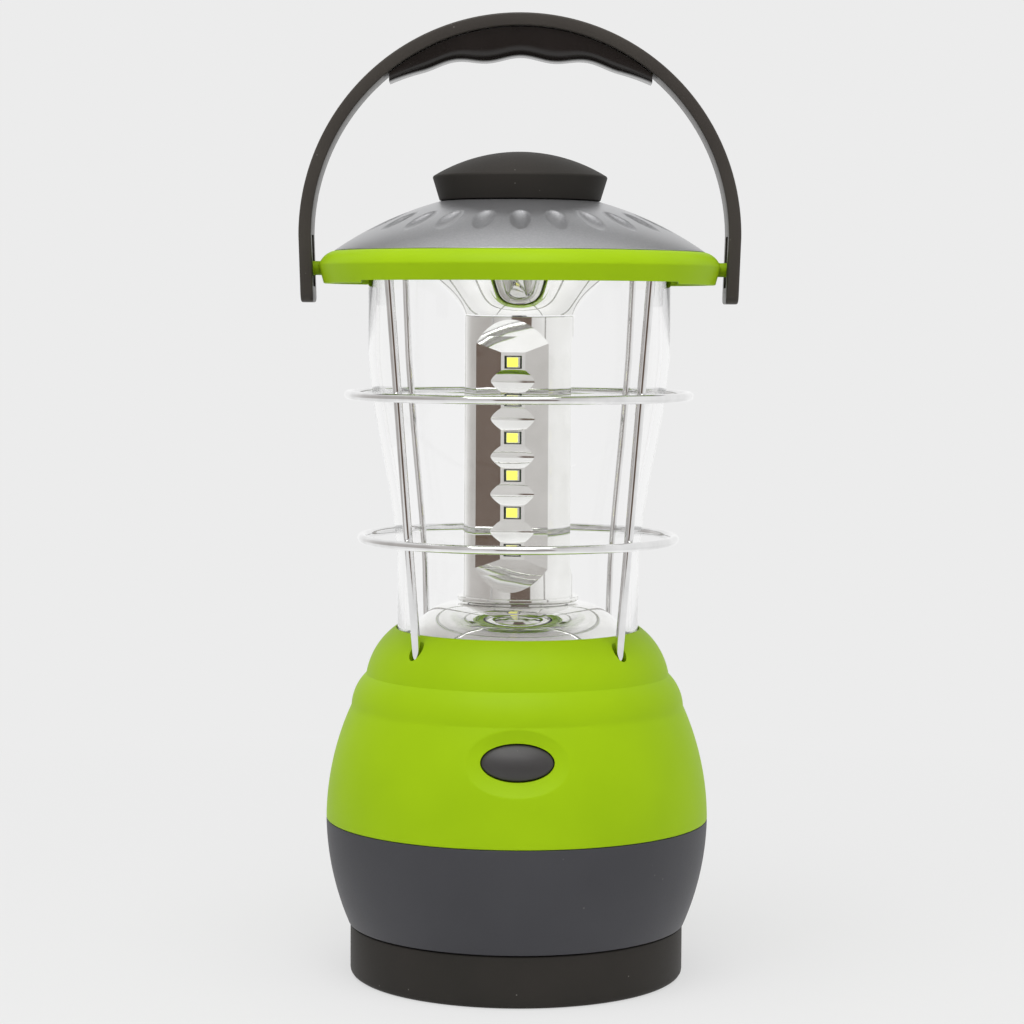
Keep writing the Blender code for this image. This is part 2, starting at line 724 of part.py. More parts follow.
def make_upper_shell():
    deck_r = radius_at(UPPER_OUTLINE, DECK_Z) - WALL
    shell = turned(
        "upper_shell",
        [
            *UPPER_OUTLINE,
            *between(UPPER_OUTLINE, SPLIT_Z + FIT / 2, DECK_Z)[:-1],
            (deck_r, DECK_Z),
            (DECK_HOLE_R, DECK_Z),
            (DECK_HOLE_R, DECK_TOP),
            (POCKET_R, DECK_TOP),
            (POCKET_R, RIM_Z),
        ],
        green_plastic,
    )
    wires = bmesh.new()
    for index in range(4):
        foot, head = wire_ends(index)
        axis = (head - foot).normalized()
        add_rod(wires, foot - axis * FIT, foot + axis * SHOULDER_RISE, WIRE_HOLE_R, 10)
    boolean(shell, add_object("wire_holes", mesh_of("wire_holes", wires)), "DIFFERENCE")
    dish = bmesh.new()
    outside = Matrix.Translation((0, DISH_DEPTH - DISH_BOWL, 0))
    add_ellipsoid(dish, (DISH_REACH, DISH_BOWL, DISH_RISE), button_frame() @ outside, 18, 60)
    boolean(shell, add_object("button_dish", mesh_of("button_dish", dish)), "DIFFERENCE")
    hole = bmesh.new()
    add_oval(
        hole,
        BUTTON_WIDTH + 2 * RUNNING,
        BUTTON_HEIGHT + 2 * RUNNING,
        -BODY_R - OVERLAP,
        -CRADLE_FRONT - BOARD_THICKNESS - SWITCH_BODY,
    )
    boolean(shell, add_object("button_hole", mesh_of("button_hole", hole)), "DIFFERENCE")
    screws = bmesh.new()
    for place in deck_screw_places():
        low, high = Vector((0, 0, DECK_Z - OVERLAP)), Vector((0, 0, DECK_TOP + OVERLAP))
        add_rod(screws, place + low, place + high, DECK_SCREW_R + FIT, 8)
    boolean(shell, add_object("deck_holes", mesh_of("deck_holes", screws)), "DIFFERENCE")


def switch_depths():
    """Y of the board's face, the switch's face and the plunger's tip, outwards."""
    board = -CRADLE_FRONT - FIT - BOARD_THICKNESS
    switch = board - FIT - SWITCH_BODY
    flange_back = FLANGE_SETBACK + FLANGE_THICKNESS + WALL - radius_at(UPPER_OUTLINE, BUTTON_Z)
    return board, switch, flange_back + FIT


def make_button_and_switch():
    frame = button_frame()
    board_y, switch_y, tip_y = switch_depths()
    flange_y = tip_y - FIT
    face = bmesh.new()
    add_oval(face, BUTTON_WIDTH, BUTTON_HEIGHT, -BODY_R, flange_y)
    button = add_object("power_button", mesh_of("power_button", face), button_plastic)
    crown = bmesh.new()
    reach = (BUTTON_WIDTH / 2) ** 2 / (2 * BUTTON_CROWN)
    sunk = Matrix.Translation((0, BUTTON_SINK + reach, 0))
    add_ellipsoid(crown, (reach, reach, reach * BUTTON_HEIGHT / BUTTON_WIDTH), frame @ sunk, 56, 56)
    boolean(button, add_object("button_crown", mesh_of("button_crown", crown)), "INTERSECT")
    flange = bmesh.new()
    spread = 2 * (RUNNING + BUTTON_FLANGE)
    add_oval(flange, BUTTON_WIDTH + spread, BUTTON_HEIGHT + spread, flange_y - FLANGE_THICKNESS, flange_y)
    boolean(button, add_object("button_flange", mesh_of("button_flange", flange)), "UNION")

    guide_y = switch_y + PLUNGER_GUIDE
    plunger = bmesh.new()
    add_rod(plunger, (0, guide_y, BUTTON_Z), (0, tip_y, BUTTON_Z), PLUNGER_R, 16)
    rod = add_object("switch_plunger", mesh_of("switch_plunger", plunger), white_plastic)

    half = SWITCH_SIZE / 2
    body = bmesh.new()
    add_box(body, (-half, switch_y, BUTTON_Z - half), (half, switch_y + SWITCH_BODY, BUTTON_Z + half))
    switch = add_object("push_switch", mesh_of("push_switch", body), black_plastic)
    guide = bmesh.new()
    deep = guide_y + BUTTON_STROKE + RUNNING
    add_rod(guide, (0, switch_y - OVERLAP, BUTTON_Z), (0, deep, BUTTON_Z), PLUNGER_R + FIT, 16)
    boolean(switch, add_object("plunger_guide", mesh_of("plunger_guide", guide)), "DIFFERENCE")

    board = bmesh.new()
    add_box(
        board,
        (-BOARD_WIDTH / 2, board_y, BUTTON_Z - BOARD_HEIGHT / 2),
        (BOARD_WIDTH / 2, board_y + BOARD_THICKNESS, BUTTON_Z + BOARD_HEIGHT / 2),
    )
    add_object("switch_board", mesh_of("switch_board", board), circuit_board)
    return button, rod


def make_leads():
    """Two leads from the switch board over the cradle's roof and up into the column."""
    board_y = switch_depths()[0] + BOARD_THICKNESS / 2
    start_z = BUTTON_Z + BOARD_HEIGHT / 2 + FIT
    run_z = (CRADLE_TOP + DECK_Z) / 2
    bend = (DECK_Z - CRADLE_TOP) / 2
    for index, side in enumerate((-1, 1), 1):
        x = side * LEAD_SPREAD
        inner_y = -DECK_HOLE_R / 3
        route = [
            (x, board_y, start_z),
            (x, board_y, run_z - bend),
            (x, board_y + bend / 2, run_z),
            (x, inner_y - bend, run_z),
            (x, inner_y, run_z + bend),
            (x, inner_y, DECK_TOP + LEAD_RISE),
        ]
        curve = bpy.data.curves.new(f"led_lead_{index}", "CURVE")
        curve.dimensions = "3D"
        curve.bevel_depth = LEAD_R
        curve.bevel_resolution = 0
        curve.use_fill_caps = True
        curve.resolution_u = 3
        spline = curve.splines.new("NURBS")
        spline.points.add(len(route) - 1)
        for point, place in zip(spline.points, route):
            point.co = (*place, 1.0)
        spline.order_u = 3
        spline.use_endpoint_u = True
        mesh_from_curve(f"led_lead_{index}", curve, lead_jacket)


def chimney_wall():
    """The outer face of the chimney from the top down: a wide head, an S-shaped taper and a straight foot."""
    high, low = RIM_Z + FLARE_TO, RIM_Z + FLARE_FROM
    steps = 4
    wall = [(CHIMNEY_TOP_R, CHIMNEY_TOP), (CHIMNEY_TOP_R, high)]
    for index in range(1, steps):
        share = index / steps
        ease = share - FLARE_EASE * math.sin(math.tau * share) / math.tau
        wall.append((CHIMNEY_TOP_R - CHIMNEY_FLARE * ease, high + (low - high) * share))
    return wall + [(CHIMNEY_R, low), (CHIMNEY_R, DECK_TOP + FIT)]


def make_chimney():
    wall = chimney_wall()
    inside = [(radius - CHIMNEY_WALL, height) for radius, height in reversed(wall)]
    turned("chimney", wall + inside, clear_plastic)


def wire_radius_at(height):
    foot, head = wire_ends(0)
    share = (height - foot.z) / (head.z - foot.z)
    return WIRE_FOOT_R + share * (WIRE_TOP_R - WIRE_FOOT_R)


def make_cage():
    for index in range(4):
        shape = bmesh.new()
        foot, head = wire_ends(index)
        add_rod(shape, foot, head, WIRE_R, 8)
        add_object(f"cage_upright_{index + 1}", mesh_of("cage_upright", shape), chrome_wire)
    for name, rise in (("cage_hoop_lower", LOWER_HOOP_RISE), ("cage_hoop_upper", UPPER_HOOP_RISE)):
        height = RIM_Z + rise
        bpy.ops.mesh.primitive_torus_add(
            major_segments=TURN_STEPS,
            minor_segments=6,
            major_radius=wire_radius_at(height) + 2 * WIRE_R + FIT,
            minor_radius=WIRE_R,
        )
        hoop = bpy.context.object
        hoop.location.z = height
        hoop.name = name
        for group in list(hoop.users_collection):
            group.objects.unlink(hoop)
        lantern.objects.link(hoop)
        hoop.data.materials.append(chrome_wire)


def trough_frame(index):
    """Frame of one LED trough: X outwards from the column's axis, Y across, Z up."""
    return turn_z(-math.pi / 2 + COLUMN_TURN + math.tau * index / TROUGH_COUNT)


def led_heights():
    return [WINDOW_LOW + LED_END + LED_PITCH * index for index in range(LED_COUNT)]


def add_splayed_box(shape, placed, near, far):
    """A box whose near and far faces differ: each face is X, half width in Y, low Z and high Z."""
    verts = bmesh.ops.create_cube(shape, size=2.0)["verts"]
    for vert in verts:
        face_x, half, low, high = near if vert.co.x < 0 else far
        vert.co = Vector((face_x, half * vert.co.y, low if vert.co.z < 0 else high))
    bmesh.ops.transform(shape, matrix=placed, verts=verts)


def make_reflector_column():
    spigot_r = COLUMN_R - COLUMN_SPIGOT_STEP
    collar_r = COLUMN_R + COLUMN_COLLAR
    collar_top = COLLAR_Z + COLUMN_COLLAR_HEIGHT
    bore_top = COLUMN_TOP - COLUMN_CAP
    column = turned(
        "reflector_column",
        [
            (COLUMN_R, COLUMN_TOP),
            (COLUMN_R, collar_top),
            (collar_r, collar_top),
            (collar_r, COLLAR_Z),
            (spigot_r, COLLAR_Z),
            (spigot_r, COLUMN_Z),
            (COLUMN_BORE_R, COLUMN_Z),
            (COLUMN_BORE_R, bore_top),
            (TIE_R + FIT, bore_top),
            (TIE_R + FIT, COLUMN_TOP),
        ],
        mirror_plastic,
    )
    windows, dishes, ridges, slots, holes = (bmesh.new() for _ in range(5))
    deep = COLUMN_R - CHORD + OVERLAP
    out = WINDOW_WIDTH / 2 + OVERLAP
    floor_low, floor_high = WINDOW_LOW + DISH_END, WINDOW_HIGH - DISH_END
    past = 1 + OVERLAP / DISH_FLOOR_DEPTH
    dish_half = DISH_FLOOR_WIDTH / 2
    splay = (WINDOW_WIDTH / 2 - dish_half) * past
    ridge_half = (LED_PITCH - LED_HOLE_HEIGHT) / 2 - FIT / 3
    heights = led_heights()
    for index in range(TROUGH_COUNT):
        frame = trough_frame(index)
        add_splayed_box(
            windows,
            frame,
            (CHORD, out, WINDOW_LOW, WINDOW_HIGH),
            (CHORD + deep, out, WINDOW_LOW - deep * WINDOW_SLOPE, WINDOW_HIGH + deep * WINDOW_SLOPE),
        )
        add_splayed_box(
            dishes,
            frame,
            (TROUGH_FLOOR, dish_half, floor_low, floor_high),
            (
                TROUGH_FLOOR + DISH_FLOOR_DEPTH * past,
                dish_half + splay,
                floor_low - DISH_END * past,
                floor_high + DISH_END * past,
            ),
        )
        for low, high in zip(heights, heights[1:]):
            placed = frame @ Matrix.Translation((TROUGH_FLOOR - FIT, 0, (low + high) / 2))
            add_ellipsoid(ridges, (RIDGE_PROUD, RIDGE_WIDTH / 2, ridge_half), placed, 4, 8)
        for height in heights:
            add_box(
                holes,
                (LED_BOARD_BACK, -LED_HOLE_WIDTH / 2, height - LED_HOLE_HEIGHT / 2),
                (COLUMN_R, LED_HOLE_WIDTH / 2, height + LED_HOLE_HEIGHT / 2),
                frame,
            )
        half = LED_BOARD_WIDTH / 2 + FIT
        add_box(
            slots,
            (LED_BOARD_BACK - FIT, -half, COLUMN_Z - OVERLAP),
            (LED_BOARD_FACE + FIT, half, bore_top - FIT),
            frame,
        )
    for name, shape, operation in (
        ("trough_windows", windows, "DIFFERENCE"),
        ("trough_dishes", dishes, "DIFFERENCE"),
        ("trough_ridges", ridges, "UNION"),
        ("board_slots", slots, "DIFFERENCE"),
        ("led_holes", holes, "DIFFERENCE"),
    ):
        boolean(column, add_object(name, mesh_of(name, shape)), operation)
    screws = bmesh.new()
    for place in deck_screw_places():
        top = place + Vector((0, 0, COLUMN_Z + DECK_SCREW_GRIP + FIT))
        add_rod(screws, place + Vector((0, 0, COLUMN_Z - OVERLAP)), top, DECK_SCREW_R + FIT, 8)
    boolean(column, add_object("column_pilots", mesh_of("column_pilots", screws)), "DIFFERENCE")


def make_led_boards():
    """Three boards in the column's grooves, each with its row of LEDs."""
    low, high = COLLAR_Z, COLUMN_TOP - COLUMN_CAP - 2 * FIT
    for index in range(TROUGH_COUNT):
        frame = trough_frame(index)
        board = bmesh.new()
        half = LED_BOARD_WIDTH / 2
        add_box(board, (LED_BOARD_BACK, -half, low), (LED_BOARD_FACE, half, high), frame)
        add_object(f"led_board_{index + 1}", mesh_of("led_board", board), circuit_board)
        base = LED_BOARD_FACE + LED_SEAT
        for place, height in enumerate(led_heights(), 1):
            led = bmesh.new()
            add_box(
                led,
                (base, -LED_WIDTH / 2, height - LED_HEIGHT / 2),
                (base + LED_THICKNESS, LED_WIDTH / 2, height + LED_HEIGHT / 2),
                frame,
            )
            add_object(f"led_{index + 1}_{place}", mesh_of("led", led), led_phosphor)


def make_mirrors():
    """The dome under the column and the trumpet above it."""
    throat = COLUMN_R - COLUMN_SPIGOT_STEP + FIT
    collar_r = COLUMN_R + COLUMN_COLLAR
    skirt = CHIMNEY_R - CHIMNEY_WALL - FIT
    low, high = DECK_TOP + FIT, COLLAR_Z - FIT
    turned(
        "lower_reflector",
        [
            (collar_r, high),
            *arc((collar_r, high), (skirt, low + MIRROR_WALL), LOWER_MIRROR_BULGE, 3),
            (skirt, low),
            (skirt - MIRROR_WALL, low),
            (throat, high - 2 * MIRROR_WALL),
            (throat, high),
        ],
        mirror_plastic,
    )
    flange_r = CHIMNEY_TOP_R - CHIMNEY_WALL - FIT
    flange_z = UPPER_MIRROR_Z + UPPER_MIRROR_RISE
    flange_top = flange_z + MIRROR_FLANGE
    mouth = COLUMN_R + UPPER_MIRROR_RISE
    floor_top = UPPER_MIRROR_Z + MIRROR_WALL
    turned(
        "upper_reflector",
        [
            (flange_r, flange_top),
            (flange_r, flange_z),
            (mouth, flange_z),
            (COLUMN_R, UPPER_MIRROR_Z),
            (TIE_R + FIT, UPPER_MIRROR_Z),
            (TIE_R + FIT, floor_top),
            (COLUMN_R - MIRROR_WALL / 2, floor_top),
            (mouth - MIRROR_WALL / 2, flange_top),
        ],
        mirror_plastic,
    )


def make_top_ring():
    top_r = RING_R - RING_TOP_IN
    land_in = top_r - RING_LAND
    skirt = RING_R - RING_FOOT_IN - RING_WALL
    foot_z = RING_Z - RING_LIP
    roof_top = RING_ROOF_Z + ROOF_THICKNESS
    ring = turned(
        "top_ring",
        [
            (top_r, RING_TOP),
            *arc((top_r, RING_TOP), (RING_R, RING_Z + RING_RIDGE), RING_LIP, 3),
            (RING_R - RING_FOOT_IN, foot_z),
            (skirt, foot_z),
            (skirt, RING_ROOF_Z),
            (ROOF_HOLE_R, RING_ROOF_Z),
            (ROOF_HOLE_R, roof_top),
            (land_in, roof_top),
            (land_in, RING_TOP),
        ],
        green_plastic,
    )
    lip = bmesh.new()
    far = RING_R + OVERLAP
    add_box(lip, (-RING_LIP_FROM, -far, foot_z - OVERLAP), (RING_LIP_FROM, far, RING_Z))
    boolean(ring, add_object("ring_lip", mesh_of("ring_lip", lip)), "DIFFERENCE")
    stubs = bmesh.new()
    reach = ARM_X + POCKET_DEPTH - FIT
    for side in (-1, 1):
        root = (side * (RING_R - RING_WALL), 0, PIVOT_Z)
        add_rod(stubs, root, (side * reach, 0, PIVOT_Z), STUB_R)
    boolean(ring, add_object("pivot_stubs", mesh_of("pivot_stubs", stubs)), "UNION")
    sockets = bmesh.new()
    for index in range(4):
        foot, head = wire_ends(index)
        axis = (head - foot).normalized()
        start = head - axis * (ROOF_THICKNESS + OVERLAP)
        add_rod(sockets, start, head + axis * (FIT + OVERLAP), WIRE_R + FIT, 8)
    boolean(ring, add_object("wire_sockets", mesh_of("wire_sockets", sockets)), "DIFFERENCE")


def make_shade():
    edge_r = RING_R - RING_TOP_IN - FIT
    crown = [(CAP_R, SHADE_TOP), *arc((CAP_R, SHADE_TOP), (edge_r, SHADE_Z), SHADE_BULGE, 5)]
    hub_low = UPPER_MIRROR_Z + MIRROR_WALL + FIT
    ceiling = WELL_Z - SHADE_WALL
    lowered = [(radius - SHADE_WALL, height - SHADE_WALL) for radius, height in reversed(crown)]
    under = [point for point in lowered if SHADE_Z < point[1] < ceiling - SHADE_WALL]
    shade = turned(
        "shade",
        [
            *crown,
            (edge_r - SHADE_EDGE, SHADE_Z),
            *under,
            (WELL_R + SHADE_WALL, ceiling),
            (HUB_R, ceiling),
            (HUB_R, hub_low),
            (TIE_R + FIT, hub_low),
            (TIE_R + FIT, WELL_Z),
            (WELL_R, WELL_Z),
            (WELL_R, SHADE_TOP),
        ],
        silver_paint,
    )
    dimples = bmesh.new()
    crown_z = height_on(crown, DIMPLE_R)
    rise = height_on(crown, DIMPLE_R - DIMPLE_LENGTH / 2) - height_on(crown, DIMPLE_R + DIMPLE_LENGTH / 2)
    lean = Matrix.Rotation(math.atan2(rise, DIMPLE_LENGTH), 4, "Y")
    bowl = DIMPLE_WIDTH / 2
    sunk = Matrix.Translation((0, 0, bowl - DIMPLE_DEPTH))
    swell = 1 / math.sqrt(1 - (1 - DIMPLE_DEPTH / bowl) ** 2)
    halves = (DIMPLE_LENGTH / 2 * swell, DIMPLE_WIDTH / 2 * swell, bowl)
    for index in range(DIMPLE_COUNT):
        around = turn_z(math.tau * index / DIMPLE_COUNT)
        placed = around @ Matrix.Translation((DIMPLE_R, 0, crown_z)) @ lean @ sunk
        add_ellipsoid(dimples, halves, placed, 4, 8)
    boolean(shade, add_object("shade_dimples", mesh_of("shade_dimples", dimples)), "DIFFERENCE")


def height_on(outline, radius):
    """Height of an outline that runs outwards, at one radius."""
    for (inner_r, inner_z), (outer_r, outer_z) in zip(outline, outline[1:]):
        if inner_r <= radius <= outer_r:
            share = (radius - inner_r) / (outer_r - inner_r)
            return inner_z + share * (outer_z - inner_z)
    raise ValueError("radius outside the outline")


def make_top_cap():
    rim_r, rim_z = CAP_R + CAP_FLARE, CAP_Z + CAP_SIDE
    top = rim_z + CAP_DOME
    spigot_r, spigot_z = WELL_R - FIT, WELL_Z + TIE_HEAD / 2
    turned(
        "top_cap",
        [
            (0, top),
            *arc((-rim_r, rim_z), (rim_r, rim_z), CAP_DOME, 8)[4:],
            (CAP_R, CAP_Z),
            (spigot_r, CAP_Z),
            (spigot_r, spigot_z),
            (spigot_r - CAP_WALL, spigot_z),
            (spigot_r - CAP_WALL, rim_z),
            (0, top - 2 * CAP_WALL),
        ],
        black_plastic,
        closed=False,
    )


def deck_screw_places():
    """Beside the bore, between two troughs and opposite."""
    radius = (COLUMN_R - COLUMN_SPIGOT_STEP + COLUMN_BORE_R) / 2
    first = COLUMN_TURN + math.pi / 2
    return [
        Vector((radius * math.cos(angle), radius * math.sin(angle), 0))
        for angle in (first + math.tau * index / TROUGH_COUNT for index in range(DECK_SCREW_COUNT))
    ]


def make_screws():
    head_z = WELL_Z + FIT
    turned(
        "tie_screw",
        [
            (0, head_z + TIE_HEAD),
            (TIE_HEAD_R, head_z + TIE_HEAD / 2),
            (TIE_HEAD_R, head_z),
            (TIE_R, head_z),
            (TIE_R, COLUMN_TOP - TIE_GRIP),
            (0, COLUMN_TOP - TIE_GRIP),
        ],
        zinc_steel,
        closed=False,
        steps=16,
    )
    under = DECK_Z - FIT
    for index, place in enumerate(deck_screw_places(), 1):
        screw = turned(
            f"deck_screw_{index}",
            [
                (0, COLUMN_Z + DECK_SCREW_GRIP),
                (DECK_SCREW_R, COLUMN_Z + DECK_SCREW_GRIP),
                (DECK_SCREW_R, under),
                (DECK_SCREW_HEAD_R, under),
                (DECK_SCREW_HEAD_R, under - DECK_SCREW_HEAD / 2),
                (0, under - DECK_SCREW_HEAD),
            ],
            zinc_steel,
            closed=False,
            steps=8,
        )
        screw.location = place


def make_handle():
    """A flat band bent to an arch with two legs that lean in a little, on stubs of the ring."""
    foot_z = PIVOT_Z - HANDLE_TAIL
    steps = 20
    outer, inner = [], []
    for index in range(steps + 1):
        angle = math.pi * index / steps
        for points, radius in ((outer, HANDLE_R), (inner, ARM_X)):
            points.append((radius * math.cos(angle), ARCH_Z + radius * math.sin(angle)))
    foot_in, foot_out = ARM_X - HANDLE_LEAN, HANDLE_R - HANDLE_LEAN
    outline = [
        (foot_in, foot_z),
        (foot_out, foot_z),
        *outer,
        (-foot_out, foot_z),
        (-foot_in, foot_z),
        *reversed(inner),
    ]
    curve = bpy.data.curves.new("handle", "CURVE")
    curve.dimensions = "2D"
    curve.fill_mode = "BOTH"
    curve.extrude = HANDLE_WIDTH / 2
    spline = curve.splines.new("POLY")
    spline.points.add(len(outline) - 1)
    for point, (x, z) in zip(spline.points, outline):
        point.co = (x, z, 0, 1)
    spline.use_cyclic_u = True
    handle = mesh_from_curve("handle", curve, black_plastic, Matrix.Rotation(math.pi / 2, 4, "X"))
    round_handle_ends(handle.data, foot_z)
    edge = handle.modifiers.new("Edge", "BEVEL")
    edge.width = HANDLE_EDGE
    edge.segments = 1
    edge.limit_method = "ANGLE"
    edge.angle_limit = math.radians(60)
    sockets = bmesh.new()
    slots = bmesh.new()
    for side in (-1, 1):
        face, bottom = side * (ARM_X - OVERLAP), side * (ARM_X + POCKET_DEPTH)
        add_rod(sockets, (face, 0, PIVOT_Z), (bottom, 0, PIVOT_Z), STUB_R + RUNNING)
        slot = side * (ARM_X + SLOT_DEPTH)
        add_box(
            slots,
            (min(face, slot), -SLOT_WIDTH / 2, PIVOT_Z - SLOT_BELOW),
            (max(face, slot), SLOT_WIDTH / 2, PIVOT_Z + SLOT_ABOVE),
        )
    boolean(handle, add_object("stub_slots", mesh_of("stub_slots", slots)), "DIFFERENCE")
    boolean(handle, add_object("stub_sockets", mesh_of("stub_sockets", sockets)), "DIFFERENCE")
    return handle


def round_handle_ends(mesh, foot_z):
    """Rounds the lowest corners of both legs, seen from the side."""
    shape = bmesh.new()
    shape.from_mesh(mesh)
    bmesh.ops.dissolve_limit(shape, angle_limit=math.radians(1), verts=shape.verts, edges=shape.edges)
    low = [
        edge
        for edge in shape.edges
        if all(vert.co.z < foot_z + FIT for vert in edge.verts)
        and abs(edge.verts[0].co.y - edge.verts[1].co.y) < FIT
    ]
    bmesh.ops.bevel(
        shape, geom=low, offset=HANDLE_END_ROUND, segments=2, profile=0.5, affect="EDGES", material=-1
    )
    shape.to_mesh(mesh)
    shape.free()


def grip_floor(x):
    """Height of the grip's underside: an arch that thins to its ends, with three finger scallops."""
    under = ARCH_Z + math.sqrt((ARM_X - FIT) ** 2 - x**2)
    thick = GRIP_MIDDLE - (GRIP_MIDDLE - GRIP_END) * (x / GRIP_REACH) ** 2
    scallop = 0.0
    if abs(x) < SCALLOP_PITCH * SCALLOP_COUNT / 2:
        scallop = SCALLOP_DEPTH * (0.5 + 0.5 * math.cos(math.tau * x / SCALLOP_PITCH))
    return under, under - thick + scallop


def make_handle_grip():
    """A loft of rounded sections along the arch."""
    sections, around = 26, 6
    shape = bmesh.new()
    rings = []
    for index in range(sections + 1):
        x = GRIP_REACH * (2 * index / sections - 1)
        top, low = grip_floor(x)
        ring = []
        for step in range(around + 1):
            angle = math.pi * step / around
            y = -GRIP_WIDTH / 2 * math.cos(angle)
            ring.append(shape.verts.new((x, y, top - (top - low) * math.sin(angle) ** 0.6)))
        rings.append(ring)
    for first, second in zip(rings, rings[1:]):
        for step in range(around + 1):
            following = (step + 1) % (around + 1)
            shape.faces.new((first[step], first[following], second[following], second[step]))
    for ring in (rings[0], rings[-1]):
        shape.faces.new(ring)
    return add_object("handle_grip", mesh_of("handle_grip", shape), black_rubber)


def add_axis(name, place, pieces):
    """An empty on a joint's axis that carries the pieces which move about it."""
    axis = bpy.data.objects.new(name, None)
    axis.location = place
    lantern.objects.link(axis)
    bpy.context.view_layer.update()
    for piece in pieces:
        piece.parent = axis
        piece.matrix_parent_inverse = axis.matrix_world.inverted()


clear_scene()
lantern = new_collection("camping_lantern")
cutters = new_collection("cutters")
cutters.hide_render = True

green_plastic = new_finish("green_plastic", "9fc117", 0.42)
grey_plastic = new_finish("grey_plastic", "434345", 0.5)
black_plastic = new_finish("black_plastic", "3a3736", 0.5)
button_plastic = new_finish("button_plastic", "4b4949", 0.45)
black_rubber = new_finish("black_rubber", "2a2827", 0.4)
silver_paint = new_finish("silver_paint", "a2a2a4", 0.35, metallic=0.6)
chrome_wire = new_finish("chrome_wire", "dcdcdc", 0.1, metallic=1.0)
mirror_plastic = new_finish("mirror_plastic", "e6e6e4", 0.06, metallic=1.0)
clear_plastic = new_finish("clear_plastic", "ffffff", 0.03, transmission=1.0)
led_phosphor = new_finish("led_phosphor", "e9e27a", 0.35)
circuit_board = new_finish("circuit_board", "24452c", 0.5)
white_plastic = new_finish("white_plastic", "e4e2da", 0.4)
brass = new_finish("brass", "c8a860", 0.3, metallic=1.0)
spring_steel = new_finish("spring_steel", "b9b9b7", 0.3, metallic=1.0)
zinc_steel = new_finish("zinc_steel", "c2c3c4", 0.35, metallic=1.0)
cell_jacket = new_finish("cell_jacket", "3f5f94", 0.35)
lead_jacket = new_finish("lead_jacket", "8f2a25", 0.5)

battery_cover = make_battery_cover()
cover_seal = make_cover_seal()
make_contacts()
make_cells()
make_battery_cradle()
make_lower_shell()
make_upper_shell()
power_button, switch_plunger = make_button_and_switch()
make_leads()
make_mirrors()
make_reflector_column()
make_led_boards()
make_chimney()
make_cage()
make_top_ring()
make_shade()
make_top_cap()
make_screws()
handle = make_handle()
handle_grip = make_handle_grip()

for piece in list(lantern.objects):
    bake(piece)

add_axis("cover_axis", (0, 0, FOOT_HEIGHT), (battery_cover, cover_seal))
add_axis("button_axis", (0, -radius_at(UPPER_OUTLINE, BUTTON_Z), BUTTON_Z), (power_button, switch_plunger))
add_axis("handle_axis", (0, 0, PIVOT_Z), (handle, handle_grip))
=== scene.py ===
import bmesh
import bpy
import math
from mathutils import Matrix, Vector


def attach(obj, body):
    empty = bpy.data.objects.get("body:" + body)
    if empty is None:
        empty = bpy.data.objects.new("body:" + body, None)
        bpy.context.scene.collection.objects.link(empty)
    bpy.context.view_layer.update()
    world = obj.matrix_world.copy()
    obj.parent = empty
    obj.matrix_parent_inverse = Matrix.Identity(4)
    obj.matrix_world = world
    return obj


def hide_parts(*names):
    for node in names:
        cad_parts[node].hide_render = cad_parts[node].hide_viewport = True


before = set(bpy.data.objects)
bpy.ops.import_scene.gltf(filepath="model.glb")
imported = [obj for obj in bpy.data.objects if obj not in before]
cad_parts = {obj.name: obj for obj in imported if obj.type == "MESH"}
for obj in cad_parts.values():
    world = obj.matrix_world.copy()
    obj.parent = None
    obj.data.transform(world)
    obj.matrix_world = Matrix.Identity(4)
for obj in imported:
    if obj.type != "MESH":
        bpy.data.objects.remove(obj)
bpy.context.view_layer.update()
scene = bpy.context.scene
scene.view_settings.view_transform = "Standard"
scene.cycles.glossy_bounces = 8  # mirrors face mirrors inside the chimney
mm = 0.001  # the sizes of the pieces are in millimetres until they meet a mesh
weld = 1e-6  # points closer than this, in metres, are one
tiny = 1e-9  # keeps a division or a root away from zero
beyond = 1  # how far a cutter reaches past what it cuts

# camera at the photograph's viewing angle
photoView = {"lens": 100.2, "sensor": 36, "place": (-1.95, -752, 176), "lookDown": 4.05, "roll": -0.3}
lensData = bpy.data.cameras.new("photo_view")
lensData.lens = photoView["lens"]
lensData.sensor_width = photoView["sensor"]
viewCamera = bpy.data.objects.new("photo_view", lensData)
viewCamera.location = Vector(photoView["place"]) * mm
viewCamera.rotation_euler = (math.radians(90 - photoView["lookDown"]), math.radians(photoView["roll"]), 0)
scene.collection.objects.link(viewCamera)
scene.camera = viewCamera


def linear(code):
    values = [int(code[i:i + 2], 16) / 255 for i in (0, 2, 4)]
    return [v / 12.92 if v <= 0.04045 else ((v + 0.055) / 1.055) ** 2.4 for v in values] + [1]


def addNode(tree, kind, settings=None):
    # a setting that is another node's socket becomes a link
    node = tree.nodes.new("ShaderNode" + kind)
    for key, value in (settings or {}).items():
        if key == "stops":
            stops = node.color_ramp.elements
            while len(stops) < len(value):
                stops.new(0.5)
            for stop, (place, code) in zip(stops, value):
                stop.position = place
                stop.color = linear(code)
        elif isinstance(value, bpy.types.NodeSocket):
            tree.links.new(value, node.inputs[key])
        elif isinstance(key, int) or key in node.inputs:
            node.inputs[key].default_value = value
        else:
            setattr(node, key, value)
    return node


def newMaterial(name, settings):
    material = bpy.data.materials.new(name)
    material.use_nodes = True
    tree = material.node_tree
    shader = tree.nodes["Principled BSDF"]
    for key, value in settings.items():
        shader.inputs[key].default_value = value
    place = addNode(tree, "TexCoord").outputs["Object"]
    return material, tree, shader, place


# what most mouldings share; dust is the strength of the specks and dustGap their spacing
plainMoulding = {"ior": 1.53, "sheen": 0.4, "spread": 0.05, "relief": 0.6, "dust": 0, "dustTint": "b9b4ad",
                 "speckCore": 0.02, "speckEdge": 0.05}


